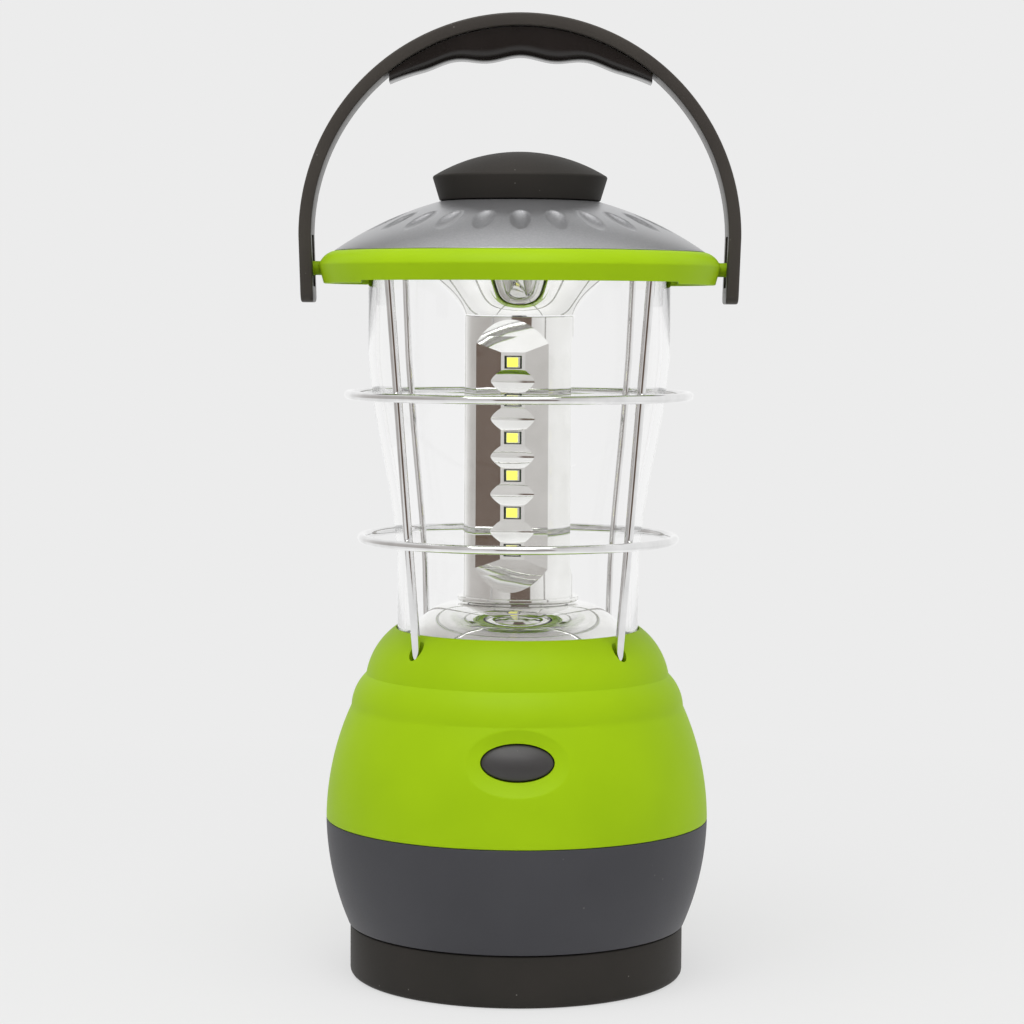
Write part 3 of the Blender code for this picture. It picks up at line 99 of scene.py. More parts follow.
def moulded(name, look):
    # moulded plastic: colour drifts a little over centimetres, a fine spark-eroded grain breaks the gloss
    look = {**plainMoulding, **look}
    settings = {"IOR": look["ior"], "Specular IOR Level": look["sheen"]}
    material, tree, shader, place = newMaterial(name, settings)
    drift = addNode(tree, "TexNoise", {"Vector": place, "Scale": 1 / (look["drift"] * mm), "Detail": 2})
    stops = [(0.3, look["dark"]), (0.7, look["light"])]
    colour = addNode(tree, "ValToRGB", {"stops": stops, "Fac": drift.outputs["Fac"]}).outputs["Color"]
    if look["dust"]:  # pale specks a few tenths of a millimetre across
        seeds = addNode(tree, "TexVoronoi", {"Vector": place, "Scale": 1 / (look["dustGap"] * mm)})
        speck = addNode(tree, "MapRange", {
            "Value": seeds.outputs["Distance"], "From Min": look["speckCore"], "From Max": look["speckEdge"],
            "To Min": look["dust"], "To Max": 0,
        })
        dusty = addNode(tree, "Mix", {
            "data_type": "RGBA", 0: speck.outputs["Result"], 6: colour, 7: linear(look["dustTint"]),
        })
        colour = dusty.outputs[2]
    tree.links.new(colour, shader.inputs["Base Color"])
    grain = addNode(tree, "TexNoise", {
        "Vector": place, "Scale": 1 / (look["grain"] * mm), "Detail": 3, "Roughness": 0.6,
    }).outputs["Fac"]
    gloss = addNode(tree, "MapRange", {
        "Value": grain, "From Min": 0.25, "From Max": 0.75,
        "To Min": look["rough"] - look["spread"], "To Max": look["rough"] + look["spread"],
    })
    tree.links.new(gloss.outputs["Result"], shader.inputs["Roughness"])
    bump = addNode(tree, "Bump", {
        "Height": grain, "Strength": look["relief"], "Distance": look["depth"] * mm,
    })
    tree.links.new(bump.outputs["Normal"], shader.inputs["Normal"])
    return material


def metal(name, look, metallic=1):
    # plated or rolled metal: faint cloudiness in colour and gloss, slight waviness of the surface
    material, tree, shader, place = newMaterial(name, {"Metallic": metallic})
    cloud = addNode(tree, "TexNoise", {
        "Vector": place, "Scale": 1 / (look["cloud"] * mm), "Detail": 3,
    }).outputs["Fac"]
    tint = addNode(tree, "ValToRGB", {"stops": [(0.3, look["dark"]), (0.7, look["light"])], "Fac": cloud})
    tree.links.new(tint.outputs["Color"], shader.inputs["Base Color"])
    smooth, rough = look["rough"]
    gloss = addNode(tree, "MapRange", {
        "Value": cloud, "From Min": 0.3, "From Max": 0.7, "To Min": smooth, "To Max": rough,
    })
    tree.links.new(gloss.outputs["Result"], shader.inputs["Roughness"])
    waves = addNode(tree, "TexNoise", {"Vector": place, "Scale": 1 / (look["wave"] * mm), "Detail": 1})
    bump = addNode(tree, "Bump", {
        "Height": waves.outputs["Fac"], "Strength": 1, "Distance": look["depth"] * mm,
    })
    tree.links.new(bump.outputs["Normal"], shader.inputs["Normal"])
    return material


limeAbs = moulded("lime_abs_moulded", {  # satin lime shell, even colour, soft highlights
    "light": "9ec306", "dark": "98bd04", "drift": 26, "grain": 0.45, "depth": 0.012, "rough": 0.52,
    "sheen": 0.12})
greyAbs = moulded("grey_abs_moulded", {  # dark grey, a shade bluer than the foot
    "light": "434347", "dark": "3f3f43", "drift": 24, "grain": 0.4, "depth": 0.014, "rough": 0.55,
    "dust": 0.12, "dustGap": 7, "sheen": 0.2})
charcoalAbs = moulded("charcoal_abs_moulded", {  # warm near-black with a fine matt grain
    "light": "363330", "dark": "312f2c", "drift": 20, "grain": 0.4, "depth": 0.018, "rough": 0.6,
    "dust": 0.3, "dustGap": 4.5, "sheen": 0.08})
handleNylon = moulded("handle_nylon_moulded", {  # a shade lighter, catches the light at a flat angle
    "light": "44403c", "dark": "3e3a37", "drift": 20, "grain": 0.4, "depth": 0.012, "rough": 0.34,
    "dust": 0.3, "dustGap": 4.5, "sheen": 0.12})
buttonAbs = moulded("button_abs_moulded", {  # finer and glossier than the shells
    "light": "3a3838", "dark": "353333", "drift": 9, "grain": 0.35, "depth": 0.012, "rough": 0.44,
    "dust": 0.2, "dustGap": 3, "sheen": 0.36})
gripRubber = moulded("grip_tpe_rubber", {  # smooth black rubber that catches the floor along its edges
    "light": "231f1e", "dark": "1d1a19", "drift": 12, "grain": 0.6, "depth": 0.01, "rough": 0.22,
    "ior": 1.52, "dust": 0.45, "dustGap": 3.2})
sealRubber = moulded("seal_epdm_rubber", {  # dull black, extruded
    "light": "1c1b1b", "dark": "161515", "drift": 8, "grain": 0.5, "depth": 0.02, "rough": 0.6, "ior": 1.52})
blackNylon = moulded("cradle_black_nylon", {  # plain inner moulding
    "light": "242424", "dark": "1e1e1e", "drift": 14, "grain": 0.5, "depth": 0.02, "rough": 0.55})
whiteNylon = moulded("plunger_white_nylon", {  # slippery, slightly warm white
    "light": "e6e4dc", "dark": "dedbd2", "drift": 6, "grain": 0.4, "depth": 0.01, "rough": 0.4})
ledHousing = moulded("led_white_housing", {  # bright white package
    "light": "f2f1ea", "dark": "e8e6dc", "drift": 2, "grain": 0.25, "depth": 0.004, "rough": 0.4})
ledPhosphor = moulded("led_yellow_phosphor", {  # silicone filled with yellow phosphor, unlit
    "light": "f0f53a", "dark": "e6ee26", "drift": 0.7, "grain": 0.2, "depth": 0.004, "rough": 0.3,
    "ior": 1.41})
solderMask = moulded("board_green_solder_mask", {  # lacquer over glass fibre
    "light": "3c5f26", "dark": "2b4a1a", "drift": 3, "grain": 0.3, "depth": 0.01, "rough": 0.35, "ior": 1.5})
cellJacket = moulded("cell_printed_jacket", {  # shrunk film, plain blue
    "light": "46679c", "dark": "3b5a8b", "drift": 18, "grain": 0.5, "depth": 0.004, "rough": 0.3, "ior": 1.5})
leadPvc = moulded("lead_red_pvc", {  # soft insulation
    "light": "962e27", "dark": "87261f", "drift": 6, "grain": 0.4, "depth": 0.01, "rough": 0.45, "ior": 1.52})
chromeWire = metal("chrome_plated_steel_wire", {  # bright plating over drawn wire
    "light": "e6e6e6", "dark": "d8d8d8", "cloud": 5, "rough": (0.04, 0.09), "wave": 6, "depth": 0.01})
mirrorPlate = metal("vacuum_metallised_polystyrene", {  # mirror with the slow ripple of a moulding
    "light": "eeeeec", "dark": "e4e4e1", "cloud": 9, "rough": (0.015, 0.035), "wave": 9, "depth": 0.025})
brass = metal("rolled_brass_strip", {
    "light": "cfae64", "dark": "bd9a55", "cloud": 4, "rough": (0.25, 0.38), "wave": 3, "depth": 0.01})
springSteel = metal("spring_steel_wire", {
    "light": "bdbdbb", "dark": "acacaa", "cloud": 3, "rough": (0.22, 0.34), "wave": 2, "depth": 0.006})
zincSteel = metal("zinc_plated_steel", {
    "light": "c6c7c9", "dark": "b4b6b8", "cloud": 2, "rough": (0.28, 0.42), "wave": 2, "depth": 0.006})
silverPaint = metal("silver_paint_on_abs", {  # aluminium flakes in lacquer
    "light": "b2b2b4", "dark": "a4a5a7", "cloud": 0.5, "rough": (0.3, 0.4), "wave": 0.5, "depth": 0.004},
    metallic=0.85)

# clear styrene: water-clear, with the faint flow of a moulding
clear = {"ior": 1.3, "flow": 24, "depth": 0.02}
clearStyrene, tree, shader, place = newMaterial("clear_polystyrene", {
    "Base Color": (1, 1, 1, 1), "Transmission Weight": 1, "IOR": clear["ior"], "Roughness": 0.0})
flow = addNode(tree, "TexNoise", {"Vector": place, "Scale": 1 / (clear["flow"] * mm), "Detail": 1})
ripple = addNode(tree, "Bump", {
    "Height": flow.outputs["Fac"], "Strength": 1, "Distance": clear["depth"] * mm,
})
tree.links.new(ripple.outputs["Normal"], shader.inputs["Normal"])

# painted glow: the unlit phosphor is given a faint yellow emission, so it shows brighter than the light
# reaching it makes it
paintedGlow = {"tint": "f6f078", "strength": 0.75}
glow = ledPhosphor.node_tree.nodes["Principled BSDF"].inputs
glow["Emission Color"].default_value = linear(paintedGlow["tint"])
glow["Emission Strength"].default_value = paintedGlow["strength"]
print("materials:", len(bpy.data.materials))


def arcPoints(start, end, bulge, count):
    # points after start up to end, standing out by bulge on the left of the way
    start, end = Vector(start), Vector(end)
    along = (end - start).normalized()
    side = Vector((-along.y, along.x))
    half = (end - start).length / 2
    radius = (half ** 2 + bulge ** 2) / (2 * bulge)
    centre = (start + end) / 2 - side * (radius - bulge)
    sweep = math.asin(half / abs(radius))
    points = []
    for index in range(1, count + 1):
        angle = sweep * (2 * index / count - 1)
        points.append(tuple(centre + side * radius * math.cos(angle) + along * abs(radius) * math.sin(angle)))
    return points


def spinRound(bm, steps):
    # a full turn about the lantern's axis, closed and facing outwards
    bmesh.ops.spin(
        bm, geom=bm.verts[:] + bm.edges[:], cent=(0, 0, 0), axis=(0, 0, 1), angle=math.tau, steps=steps,
        use_merge=True,
    )
    bmesh.ops.remove_doubles(bm, verts=bm.verts, dist=weld)
    bmesh.ops.recalc_face_normals(bm, faces=bm.faces)


def turned(outline, steps=128, closed=True):
    # radius and height in mm, with a third number where the corner is rounded
    bm = bmesh.new()
    verts = [bm.verts.new((point[0] * mm, 0, point[1] * mm)) for point in outline]
    for pair in zip(verts, verts[1:] + verts[:1] if closed else verts[1:]):
        bm.edges.new(pair)
    for vert, point in zip(verts, outline):
        if len(point) > 2:
            bmesh.ops.bevel(
                bm, geom=[vert], offset=point[2] * mm, offset_type="OFFSET", segments=4, profile=0.5,
                affect="VERTICES", material=-1,
            )
    spinRound(bm, steps)
    return bm


def softenEdges(bm, edges, size, segments):
    bmesh.ops.bevel(
        bm, geom=edges, offset=size * mm, offset_type="OFFSET", segments=segments, profile=0.5,
        affect="EDGES", material=-1,
    )


def addRod(bm, start, end, radius, sides=24):
    start, end = Vector(start) * mm, Vector(end) * mm
    turn = (end - start).to_track_quat("Z", "Y").to_matrix().to_4x4()
    bmesh.ops.create_cone(
        bm, cap_ends=True, segments=sides, radius1=radius * mm, radius2=radius * mm,
        depth=(end - start).length, matrix=Matrix.Translation((start + end) / 2) @ turn,
    )


def addBox(bm, low, high, placed=None):
    low, high = Vector(low) * mm, Vector(high) * mm
    local = Matrix.Translation((low + high) / 2) @ Matrix.Diagonal((*(high - low), 1))
    bmesh.ops.create_cube(bm, size=1, matrix=(placed or Matrix()) @ local)


def addSplayed(bm, placed, near, far):
    # a box whose near and far faces differ: X, half width in Y, low Z and high Z of each
    verts = bmesh.ops.create_cube(bm, size=2)["verts"]
    for vert in verts:
        faceX, half, low, high = near if vert.co.x < 0 else far
        vert.co = Vector((faceX, half * vert.co.y, low if vert.co.z < 0 else high)) * mm
    bmesh.ops.transform(bm, matrix=placed, verts=verts)


def carve(bm, cutter, operation="DIFFERENCE"):
    # one exact Boolean; gives back the result and leaves nothing behind
    helpers = []
    for label, shape in (("carved", bm), ("cutter", cutter)):
        bmesh.ops.recalc_face_normals(shape, faces=shape.faces)
        mesh = bpy.data.meshes.new(label)
        shape.to_mesh(mesh)
        shape.free()
        helpers.append(bpy.data.objects.new(label, mesh))
        scene.collection.objects.link(helpers[-1])
    carved, tool = helpers
    step = carved.modifiers.new("carve", "BOOLEAN")
    step.object = tool
    step.operation = operation
    step.solver = "EXACT"
    result = bmesh.new()
    result.from_object(carved, bpy.context.evaluated_depsgraph_get())
    for item in helpers:
        mesh = item.data
        bpy.data.objects.remove(item)
        bpy.data.meshes.remove(mesh)
    return result


def finishPiece(name, bm, materials, body, stands=(), sharp=35):
    mesh = bpy.data.meshes.new(name)
    bm.to_mesh(mesh)
    bm.free()
    for material in materials:
        mesh.materials.append(material)
    mesh.shade_smooth()
    mesh.set_sharp_from_angle(angle=math.radians(sharp))
    piece = bpy.data.objects.new(name, mesh)
    scene.collection.objects.link(piece)
    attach(piece, body)
    if stands:
        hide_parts(*stands)
    return piece


# battery cover, the foot: a turned cup with a bayonet neck that hides inside the lower shell
foot = {"radius": 44.185, "height": 13.5, "round": 1.6, "edge": 0.35, "land": 5.2, "landEdge": 0.6,
        "recess": 3.5, "recessRound": 0.8, "floorTop": 6, "neckBore": 38.485, "neck": 40.085, "neckTop": 22.4,
        "neckEdge": 0.3, "grooveWidth": 2.8, "grooveDepth": 1, "lugs": 3, "lugReach": 41.585, "lugRoot": 0.8,
        "lugWidth": 14, "lugLow": 17, "lugHeight": 2}


def makeFoot():
    part = foot
    groove = part["neck"] + part["grooveWidth"]
    inner = part["radius"] - part["land"]
    bm = turned([
        (0, part["floorTop"]),
        (part["neckBore"], part["floorTop"]),
        (part["neckBore"], part["neckTop"]),
        (part["neck"], part["neckTop"], part["neckEdge"]),
        (part["neck"], part["height"] - part["grooveDepth"]),
        (groove, part["height"] - part["grooveDepth"]),
        (groove, part["height"]),
        (part["radius"], part["height"], part["edge"]),
        (part["radius"], 0, part["round"]),
        (inner, 0, part["landEdge"]),
        (inner, part["recess"], part["recessRound"]),
        (0, part["recess"]),
    ], closed=False, steps=160)
    lugs = bmesh.new()
    for index in range(part["lugs"]):
        addBox(
            lugs,
            (part["neck"] - part["lugRoot"], -part["lugWidth"] / 2, part["lugLow"]),
            (part["lugReach"], part["lugWidth"] / 2, part["lugLow"] + part["lugHeight"]),
            Matrix.Rotation(math.tau * index / part["lugs"], 4, "Z"),
        )
    bm = carve(bm, lugs, "UNION")
    finishPiece("battery_foot", bm, [charcoalAbs], "foot", ["battery_cover"])


# lower shell, grey: a plain bowl with a bayonet ledge, a shelf for the cradle and a tongue at the split
lowerShell = {"split": (50.585, 41.74), "waist": (44.585, 13.85), "bulge": 1.4, "edge": 0.3, "wall": 2.5,
              "ledgeBore": 40.485, "ledgeTop": 16.6, "shelfLow": 22.8, "shelfTop": 25, "shelfBore": 41.585,
              "innerLevels": (29, 33), "tongue": 47.48, "tongueIn": 46.08, "tongueTop": 45.8,
              "tongueRoot": 37.8, "gaps": 3, "gapTurn": 30, "gapWidth": 16, "gapPlay": 0.4}


def makeLowerShell():
    part = lowerShell
    outer = [part["split"], *arcPoints(part["split"], part["waist"], part["bulge"], 26)]

    def wallAt(height):
        for (upperR, upperZ), (lowerR, lowerZ) in zip(outer, outer[1:]):
            if lowerZ <= height <= upperZ:
                return lowerR + (upperR - lowerR) * (height - lowerZ) / (upperZ - lowerZ) - part["wall"]

    below = [part["ledgeTop"], part["shelfLow"]]
    above = [part["shelfTop"], *part["innerLevels"], part["tongueRoot"]]
    bm = turned([
        (part["tongue"], part["tongueTop"]),
        (part["tongue"], part["split"][1]),
        (*outer[0], part["edge"]),
        *outer[1:-1],
        (*outer[-1], part["edge"]),
        (part["ledgeBore"], outer[-1][1]),
        (part["ledgeBore"], part["ledgeTop"]),
        *((wallAt(height), height) for height in below),
        (part["shelfBore"], part["shelfLow"]),
        (part["shelfBore"], part["shelfTop"]),
        *((wallAt(height), height) for height in above),
        (part["tongueIn"], part["tongueRoot"]),
        (part["tongueIn"], part["tongueTop"]),
    ], steps=192)
    gaps = bmesh.new()
    for index in range(part["gaps"]):
        addBox(
            gaps,
            (part["ledgeBore"] - beyond, -part["gapWidth"] / 2, part["waist"][1] - beyond),
            (foot["lugReach"] + part["gapPlay"], part["gapWidth"] / 2, part["ledgeTop"] + part["gapPlay"]),
            Matrix.Rotation(math.tau * index / part["gaps"] + math.radians(part["gapTurn"]), 4, "Z"),
        )
    bm = carve(bm, gaps)
    finishPiece("grey_lower_shell", bm, [greyAbs], "lantern", ["lower_shell"])


# upper shell, green: three tiers with creases, a dished seat for the button and four wire holes
upperShell = {"rim": (32.585, 92.2), "upperCrease": (40.085, 80), "lowerCrease": (43.985, 71.6),
              "split": (50.585, 41.86), "bulges": (1.4, 0.9, 1.6), "arcSteps": (16, 12, 32), "edge": 0.25,
              "wall": 2.5, "inner": ((47.2, 52), (45, 62), (41.4, 71.6), (40.2, 76.2), (37.4, 80)),
              "deckEdge": 36.4, "deckLow": 84, "deckTop": 86.5, "deckHole": 6, "pocket": 32.185,
              "wireHole": 2, "wireHoleStart": 0.3, "wireHoleLength": 12.2, "screwHole": 1.7,
              "screws": ((1.666, 10.065), (-9.55, -3.59)), "ovalY": -45, "ovalDepth": 16}
button = {"width": 18.1, "height": 8.9, "gap": 0.3, "faceY": -47.212, "middleZ": 63, "lean": 17.506,
          "sink": -0.1, "crown": 1.5, "edge": 0.45, "edgeFrom": 0.9, "flange": 1.5, "flangeFront": -41.112,
          "flangeBack": -39.912, "dishHalves": (52, 5, 12.5), "dishDepth": 1.85, "dishSoft": 0.05,
          "dishBack": -38, "dishPatch": (18, 13), "dishCuts": 3}
cageWires = {"radius": 1.15, "foot": (25.741, 24.858, 85.3), "head": (33.52, 31.04, 190),
             "hoops": (("cage_hoop_lower", 41.287, 116), ("cage_hoop_upper", 44.852, 153.7))}


def wireEnds():
    for right, back in ((1, -1), (-1, -1), (-1, 1), (1, 1)):
        sides = Vector((right, back, 1))
        yield Vector(cageWires["foot"]) * sides, Vector(cageWires["head"]) * sides


def sinkDish(bm):
    # finer mesh round the button, then everything inside the dish's ellipsoid goes back to its bowl
    part = button
    patchX, patchZ = part["dishPatch"]
    near = []
    for face in bm.faces:
        middle = face.calc_center_median() / mm
        beside = abs(middle.x) < patchX and abs(middle.z - part["middleZ"]) < patchZ
        if face.normal.y < 0 and middle.y < part["dishBack"] and beside:
            near.append(face)
    edges = list({edge for face in near for edge in face.edges})
    corners = {vert for face in near for vert in face.verts}
    radii = sorted({(round(v.co.z, 7), round(math.hypot(v.co.x, v.co.y), 7)) for v in corners})
    made = bmesh.ops.subdivide_edges(bm, edges=edges, cuts=part["dishCuts"], use_grid_fill=True)
    for vert in (item for item in made["geom_inner"] if isinstance(item, bmesh.types.BMVert)):
        for (lowZ, lowR), (highZ, highR) in zip(radii, radii[1:]):
            if lowZ - weld <= vert.co.z <= highZ + weld:
                share = (vert.co.z - lowZ) / max(highZ - lowZ, tiny)
                grow = (lowR + share * (highR - lowR)) / math.hypot(vert.co.x, vert.co.y)
                vert.co.x *= grow
                vert.co.y *= grow
                break
    a, b, c = (half * mm for half in part["dishHalves"])
    placed = (
        Matrix.Translation(Vector((0, part["faceY"], part["middleZ"])) * mm)
        @ Matrix.Rotation(-math.radians(part["lean"]), 4, "X")
        @ Matrix.Translation((0, part["dishDepth"] * mm - b, 0))
    )
    back = placed.inverted()
    for vert in bm.verts:
        if vert.co.y < part["dishBack"] * mm:
            local = back @ vert.co
            bowl = b * math.sqrt(max(0, 1 - (local.x / a) ** 2 - (local.z / c) ** 2))
            over = local.y - bowl
            local.y = bowl + (over + math.hypot(over, part["dishSoft"] * mm)) / 2
            vert.co = placed @ local


def makeUpperShell():
    part = upperShell
    tiers = [part["rim"], part["upperCrease"], part["lowerCrease"], part["split"]]
    outer = [part["rim"]]
    for start, end, bulge, count in zip(tiers, tiers[1:], part["bulges"], part["arcSteps"]):
        outer += arcPoints(start, end, bulge, count)
    bm = turned([
        (*outer[0], part["edge"] / 2),
        *outer[1:-1],
        (*outer[-1], part["edge"]),
        (part["split"][0] - part["wall"], part["split"][1]),
        *part["inner"],
        (part["deckEdge"], part["deckLow"]),
        (part["deckHole"], part["deckLow"]),
        (part["deckHole"], part["deckTop"]),
        (part["pocket"], part["deckTop"]),
        (part["pocket"], part["rim"][1]),
    ], steps=256)
    sinkDish(bm)
    cutter = bmesh.new()
    halfWidth, halfHeight = button["width"] / 2 + button["gap"], button["height"] / 2 + button["gap"]
    oval = (
        Matrix.Translation(Vector((0, part["ovalY"], button["middleZ"])) * mm)
        @ Matrix.Diagonal((halfWidth * mm, part["ovalDepth"] * mm, halfHeight * mm, 1))
        @ Matrix.Rotation(math.pi / 2, 4, "X")
    )
    bmesh.ops.create_cone(cutter, cap_ends=True, segments=96, radius1=1, radius2=1, depth=1, matrix=oval)
    for low, high in wireEnds():
        axis = (high - low).normalized()
        start, end = low - axis * part["wireHoleStart"], low + axis * part["wireHoleLength"]
        addRod(cutter, start, end, part["wireHole"], 32)
    for x, y in part["screws"]:
        low, high = (x, y, part["deckLow"] - beyond), (x, y, part["deckTop"] + beyond)
        addRod(cutter, low, high, part["screwHole"], 16)
    bm = carve(bm, cutter)
    finishPiece("green_upper_shell", bm, [limeAbs], "lantern", ["upper_shell"], sharp=28)


# push button: an oval with a low crown that follows the shell's lean, and a flange behind the wall
def makeButton():
    part = button
    rings = 20
    # a unit disc: the face at level 0 up to radius 1, the flange at levels 1 and 2 out to radius 2
    outline = [(index / rings, 0) for index in range(rings + 1)] + [(1, 1), (2, 1), (2, 2), (0, 2)]
    bm = turned(outline, steps=96, closed=False)
    halfWidth, halfHeight = part["width"] / 2, part["height"] / 2
    reach = halfWidth ** 2 / (2 * part["crown"])
    lean = math.radians(part["lean"])
    for vert in bm.verts:
        share, level = math.hypot(vert.co.x, vert.co.y) / mm, round(vert.co.z / mm)
        flat = Vector((vert.co.x, vert.co.y)) / mm / max(share, tiny)
        if share > 1.5:
            x, z = flat.x * (halfWidth + part["flange"]), flat.y * (halfHeight + part["flange"])
        else:
            x, z = flat.x * share * halfWidth, flat.y * share * halfHeight
        rise = z / math.cos(lean)
        y = part["faceY"] + math.sin(lean) * rise
        y += (part["sink"] + (x ** 2 + (rise * halfWidth / halfHeight) ** 2) / (2 * reach)) / math.cos(lean)
        if share > part["edgeFrom"]:
            over = (share - part["edgeFrom"]) / (1 - part["edgeFrom"])
            y += part["edge"] * (1 - math.sqrt(max(0, 1 - over ** 2)))
        if level:
            y = part["flangeFront"] if level == 1 else part["flangeBack"]
        vert.co = Vector((x, y, z + part["middleZ"])) * mm
    bmesh.ops.recalc_face_normals(bm, faces=bm.faces)
    finishPiece("oval_push_button", bm, [buttonAbs], "button", ["power_button"], sharp=40)


# mirrors under and over the column
mirrors = {"collar": 16.1, "collarLow": 99.7, "skirt": 29.585, "skirtTop": 88, "low": 86.8, "wall": 1.2,
           "throat": 13.3, "domeBulge": 3.2, "column": 14.5, "trumpetLow": 174, "flangeZ": 186,
           "flangeTop": 187.2, "flange": 37.385, "bore": 2.2, "throatSlope": 66, "mouthSlope": 38, "ease": 3,
           "flareSteps": 48}


def makeMirrors():
    part = mirrors
    crest, skirt = (part["collar"], part["collarLow"]), (part["skirt"], part["skirtTop"])
    dome = turned([
        crest,
        *arcPoints(crest, skirt, part["domeBulge"], 28),
        (part["skirt"], part["low"]),
        (part["skirt"] - part["wall"], part["low"]),
        (part["throat"], part["collarLow"] - 2 * part["wall"]),
        (part["throat"], part["collarLow"]),
    ], steps=192)
    finishPiece("dome_reflector", dome, [mirrorPlate], "lantern", ["lower_reflector"])
    flare = [(part["column"], part["trumpetLow"])]  # steep at the throat, then nearly straight
    step = (part["flangeZ"] - part["trumpetLow"]) / part["flareSteps"]
    for _ in range(part["flareSteps"]):
        radius, height = flare[-1]
        lead = math.exp(-(height - part["trumpetLow"]) / part["ease"])
        slope = math.radians(part["mouthSlope"] + (part["throatSlope"] - part["mouthSlope"]) * lead)
        flare.append((radius + step / math.tan(slope), height + step))
    trumpet = turned([
        (part["flange"], part["flangeTop"]),
        (part["flange"], part["flangeZ"]),
        *reversed(flare),
        (part["bore"], part["trumpetLow"]),
        (part["bore"], part["trumpetLow"] + part["wall"]),
        (part["column"] - part["wall"] / 2, part["trumpetLow"] + part["wall"]),
        (flare[-1][0] - part["wall"] / 2, part["flangeTop"]),
    ], steps=192)
    finishPiece("trumpet_reflector", trumpet, [mirrorPlate], "lantern", ["upper_reflector"])


# reflector column: three LED troughs with flat sloped sides, lens-shaped ridges between the LEDs
column = {"radius": 14.5, "top": 173.7, "topEdge": 0.15, "low": 86.8, "collar": 16.1, "collarLow": 100,
          "collarTop": 101.4, "collarEdge": 0.3, "collarRound": 1, "spigot": 13, "bore": 7.404,
          "boreTop": 168.1, "tieBore": 2.2, "pilotDepth": 8.3, "turn": -9.4, "troughs": 3,
          "windowWidth": 19, "windowLow": 108.779, "windowHigh": 167.221, "windowSlope": 1.63,
          "chord": 10.954, "floor": 9.604, "floorWidth": 6.4, "dishEnd": 2.25, "ridgeWidth": 17.4,
          "ridgeProud": 0.8, "ridgeSink": 0.05, "ridgeCrest": 1.55, "ridgeGap": 0.1, "ridgeMesh": (72, 64),
          "boardBack": 7.104, "boardFace": 8.304, "boardWidth": 9.6, "boardPlay": 0.3}
leds = {"count": 6, "first": 113.479, "pitch": 9.8084, "size": (1, 3.5, 2.8), "seat": 0.15, "holeWidth": 4.6,
        "holeHeight": 3.3, "window": (1.45, 1.2), "windowShift": -0.2, "windowSink": 0.08, "edge": 0.12,
        "inset": 0.1}
ledHeights = [leds["first"] + leds["pitch"] * index for index in range(leds["count"])]


def troughPlace(index):
    turn = -90 + column["turn"] + 360 * index / column["troughs"]
    return Matrix.Rotation(math.radians(turn), 4, "Z")


def addRidge(bm, placed, height):
    # an ellipsoid whose crest is sharpened into a soft crease
    part = column
    half = (leds["pitch"] - leds["holeHeight"]) / 2 - part["ridgeGap"]
    around, along = part["ridgeMesh"]
    made = bmesh.ops.create_uvsphere(bm, u_segments=around, v_segments=along, radius=1)["verts"]
    for vert in made:
        span = math.sqrt(max(tiny, 1 - vert.co.y ** 2))
        fall = min(1, abs(vert.co.z) / span) ** part["ridgeCrest"]
        vert.co.x = math.copysign(span * (1 - fall), vert.co.x)
    middle = Vector((part["floor"] - part["ridgeSink"], 0, height)) * mm
    shape = Matrix.Diagonal((part["ridgeProud"] * mm, part["ridgeWidth"] / 2 * mm, half * mm, 1))
    bmesh.ops.transform(bm, matrix=placed @ Matrix.Translation(middle) @ shape, verts=made)


def makeColumn():
    part = column
    bm = turned([
        (part["radius"], part["top"], part["topEdge"]),
        (part["radius"], part["collarTop"]),
        (part["collar"], part["collarTop"], part["collarEdge"]),
        (part["collar"], part["collarLow"], part["collarRound"]),
        (part["spigot"], part["collarLow"]),
        (part["spigot"], part["low"]),
        (part["bore"], part["low"]),
        (part["bore"], part["boreTop"]),
        (part["tieBore"], part["boreTop"]),
        (part["tieBore"], part["top"]),
    ], steps=240)
    windows, dishes, ridges, slots, holes = (bmesh.new() for _ in range(5))
    deep = part["radius"] - part["chord"] + beyond
    rise = deep * part["windowSlope"]
    out = part["windowWidth"] / 2 + beyond
    depth = part["chord"] - part["floor"]
    past = 1 + beyond / depth
    half = part["floorWidth"] / 2
    splay = (part["windowWidth"] / 2 - half) * past
    ends = part["dishEnd"] * past
    low, high = part["windowLow"] + part["dishEnd"], part["windowHigh"] - part["dishEnd"]
    holeSide, holeRise = leds["holeWidth"] / 2, leds["holeHeight"] / 2
    play = part["boardPlay"]
    side = part["boardWidth"] / 2 + play
    for index in range(part["troughs"]):
        placed = troughPlace(index)
        addSplayed(
            windows, placed, (part["chord"], out, part["windowLow"], part["windowHigh"]),
            (part["chord"] + deep, out, part["windowLow"] - rise, part["windowHigh"] + rise),
        )
        addSplayed(
            dishes, placed, (part["floor"], half, low, high),
            (part["floor"] + depth * past, half + splay, low - ends, high + ends),
        )
        for first, second in zip(ledHeights, ledHeights[1:]):
            addRidge(ridges, placed, (first + second) / 2)
        for height in ledHeights:
            addBox(
                holes, (part["boardBack"], -holeSide, height - holeRise),
                (part["radius"], holeSide, height + holeRise), placed,
            )
        addBox(
            slots, (part["boardBack"] - play, -side, part["low"] - beyond),
            (part["boardFace"] + play, side, part["boreTop"] - play), placed,
        )
    bm = carve(carve(bm, windows), dishes)
    bm = carve(bm, ridges, "UNION")
    bm = carve(carve(bm, slots), holes)
    pilots = bmesh.new()
    for x, y in upperShell["screws"]:
        bottom, tip = (x, y, part["low"] - beyond), (x, y, part["low"] + part["pilotDepth"])
        addRod(pilots, bottom, tip, upperShell["screwHole"], 16)
    bm = carve(bm, pilots)
    finishPiece(
        "mirror_column", bm, [mirrorPlate], "lantern", ["reflector_column"], sharp=9
    )


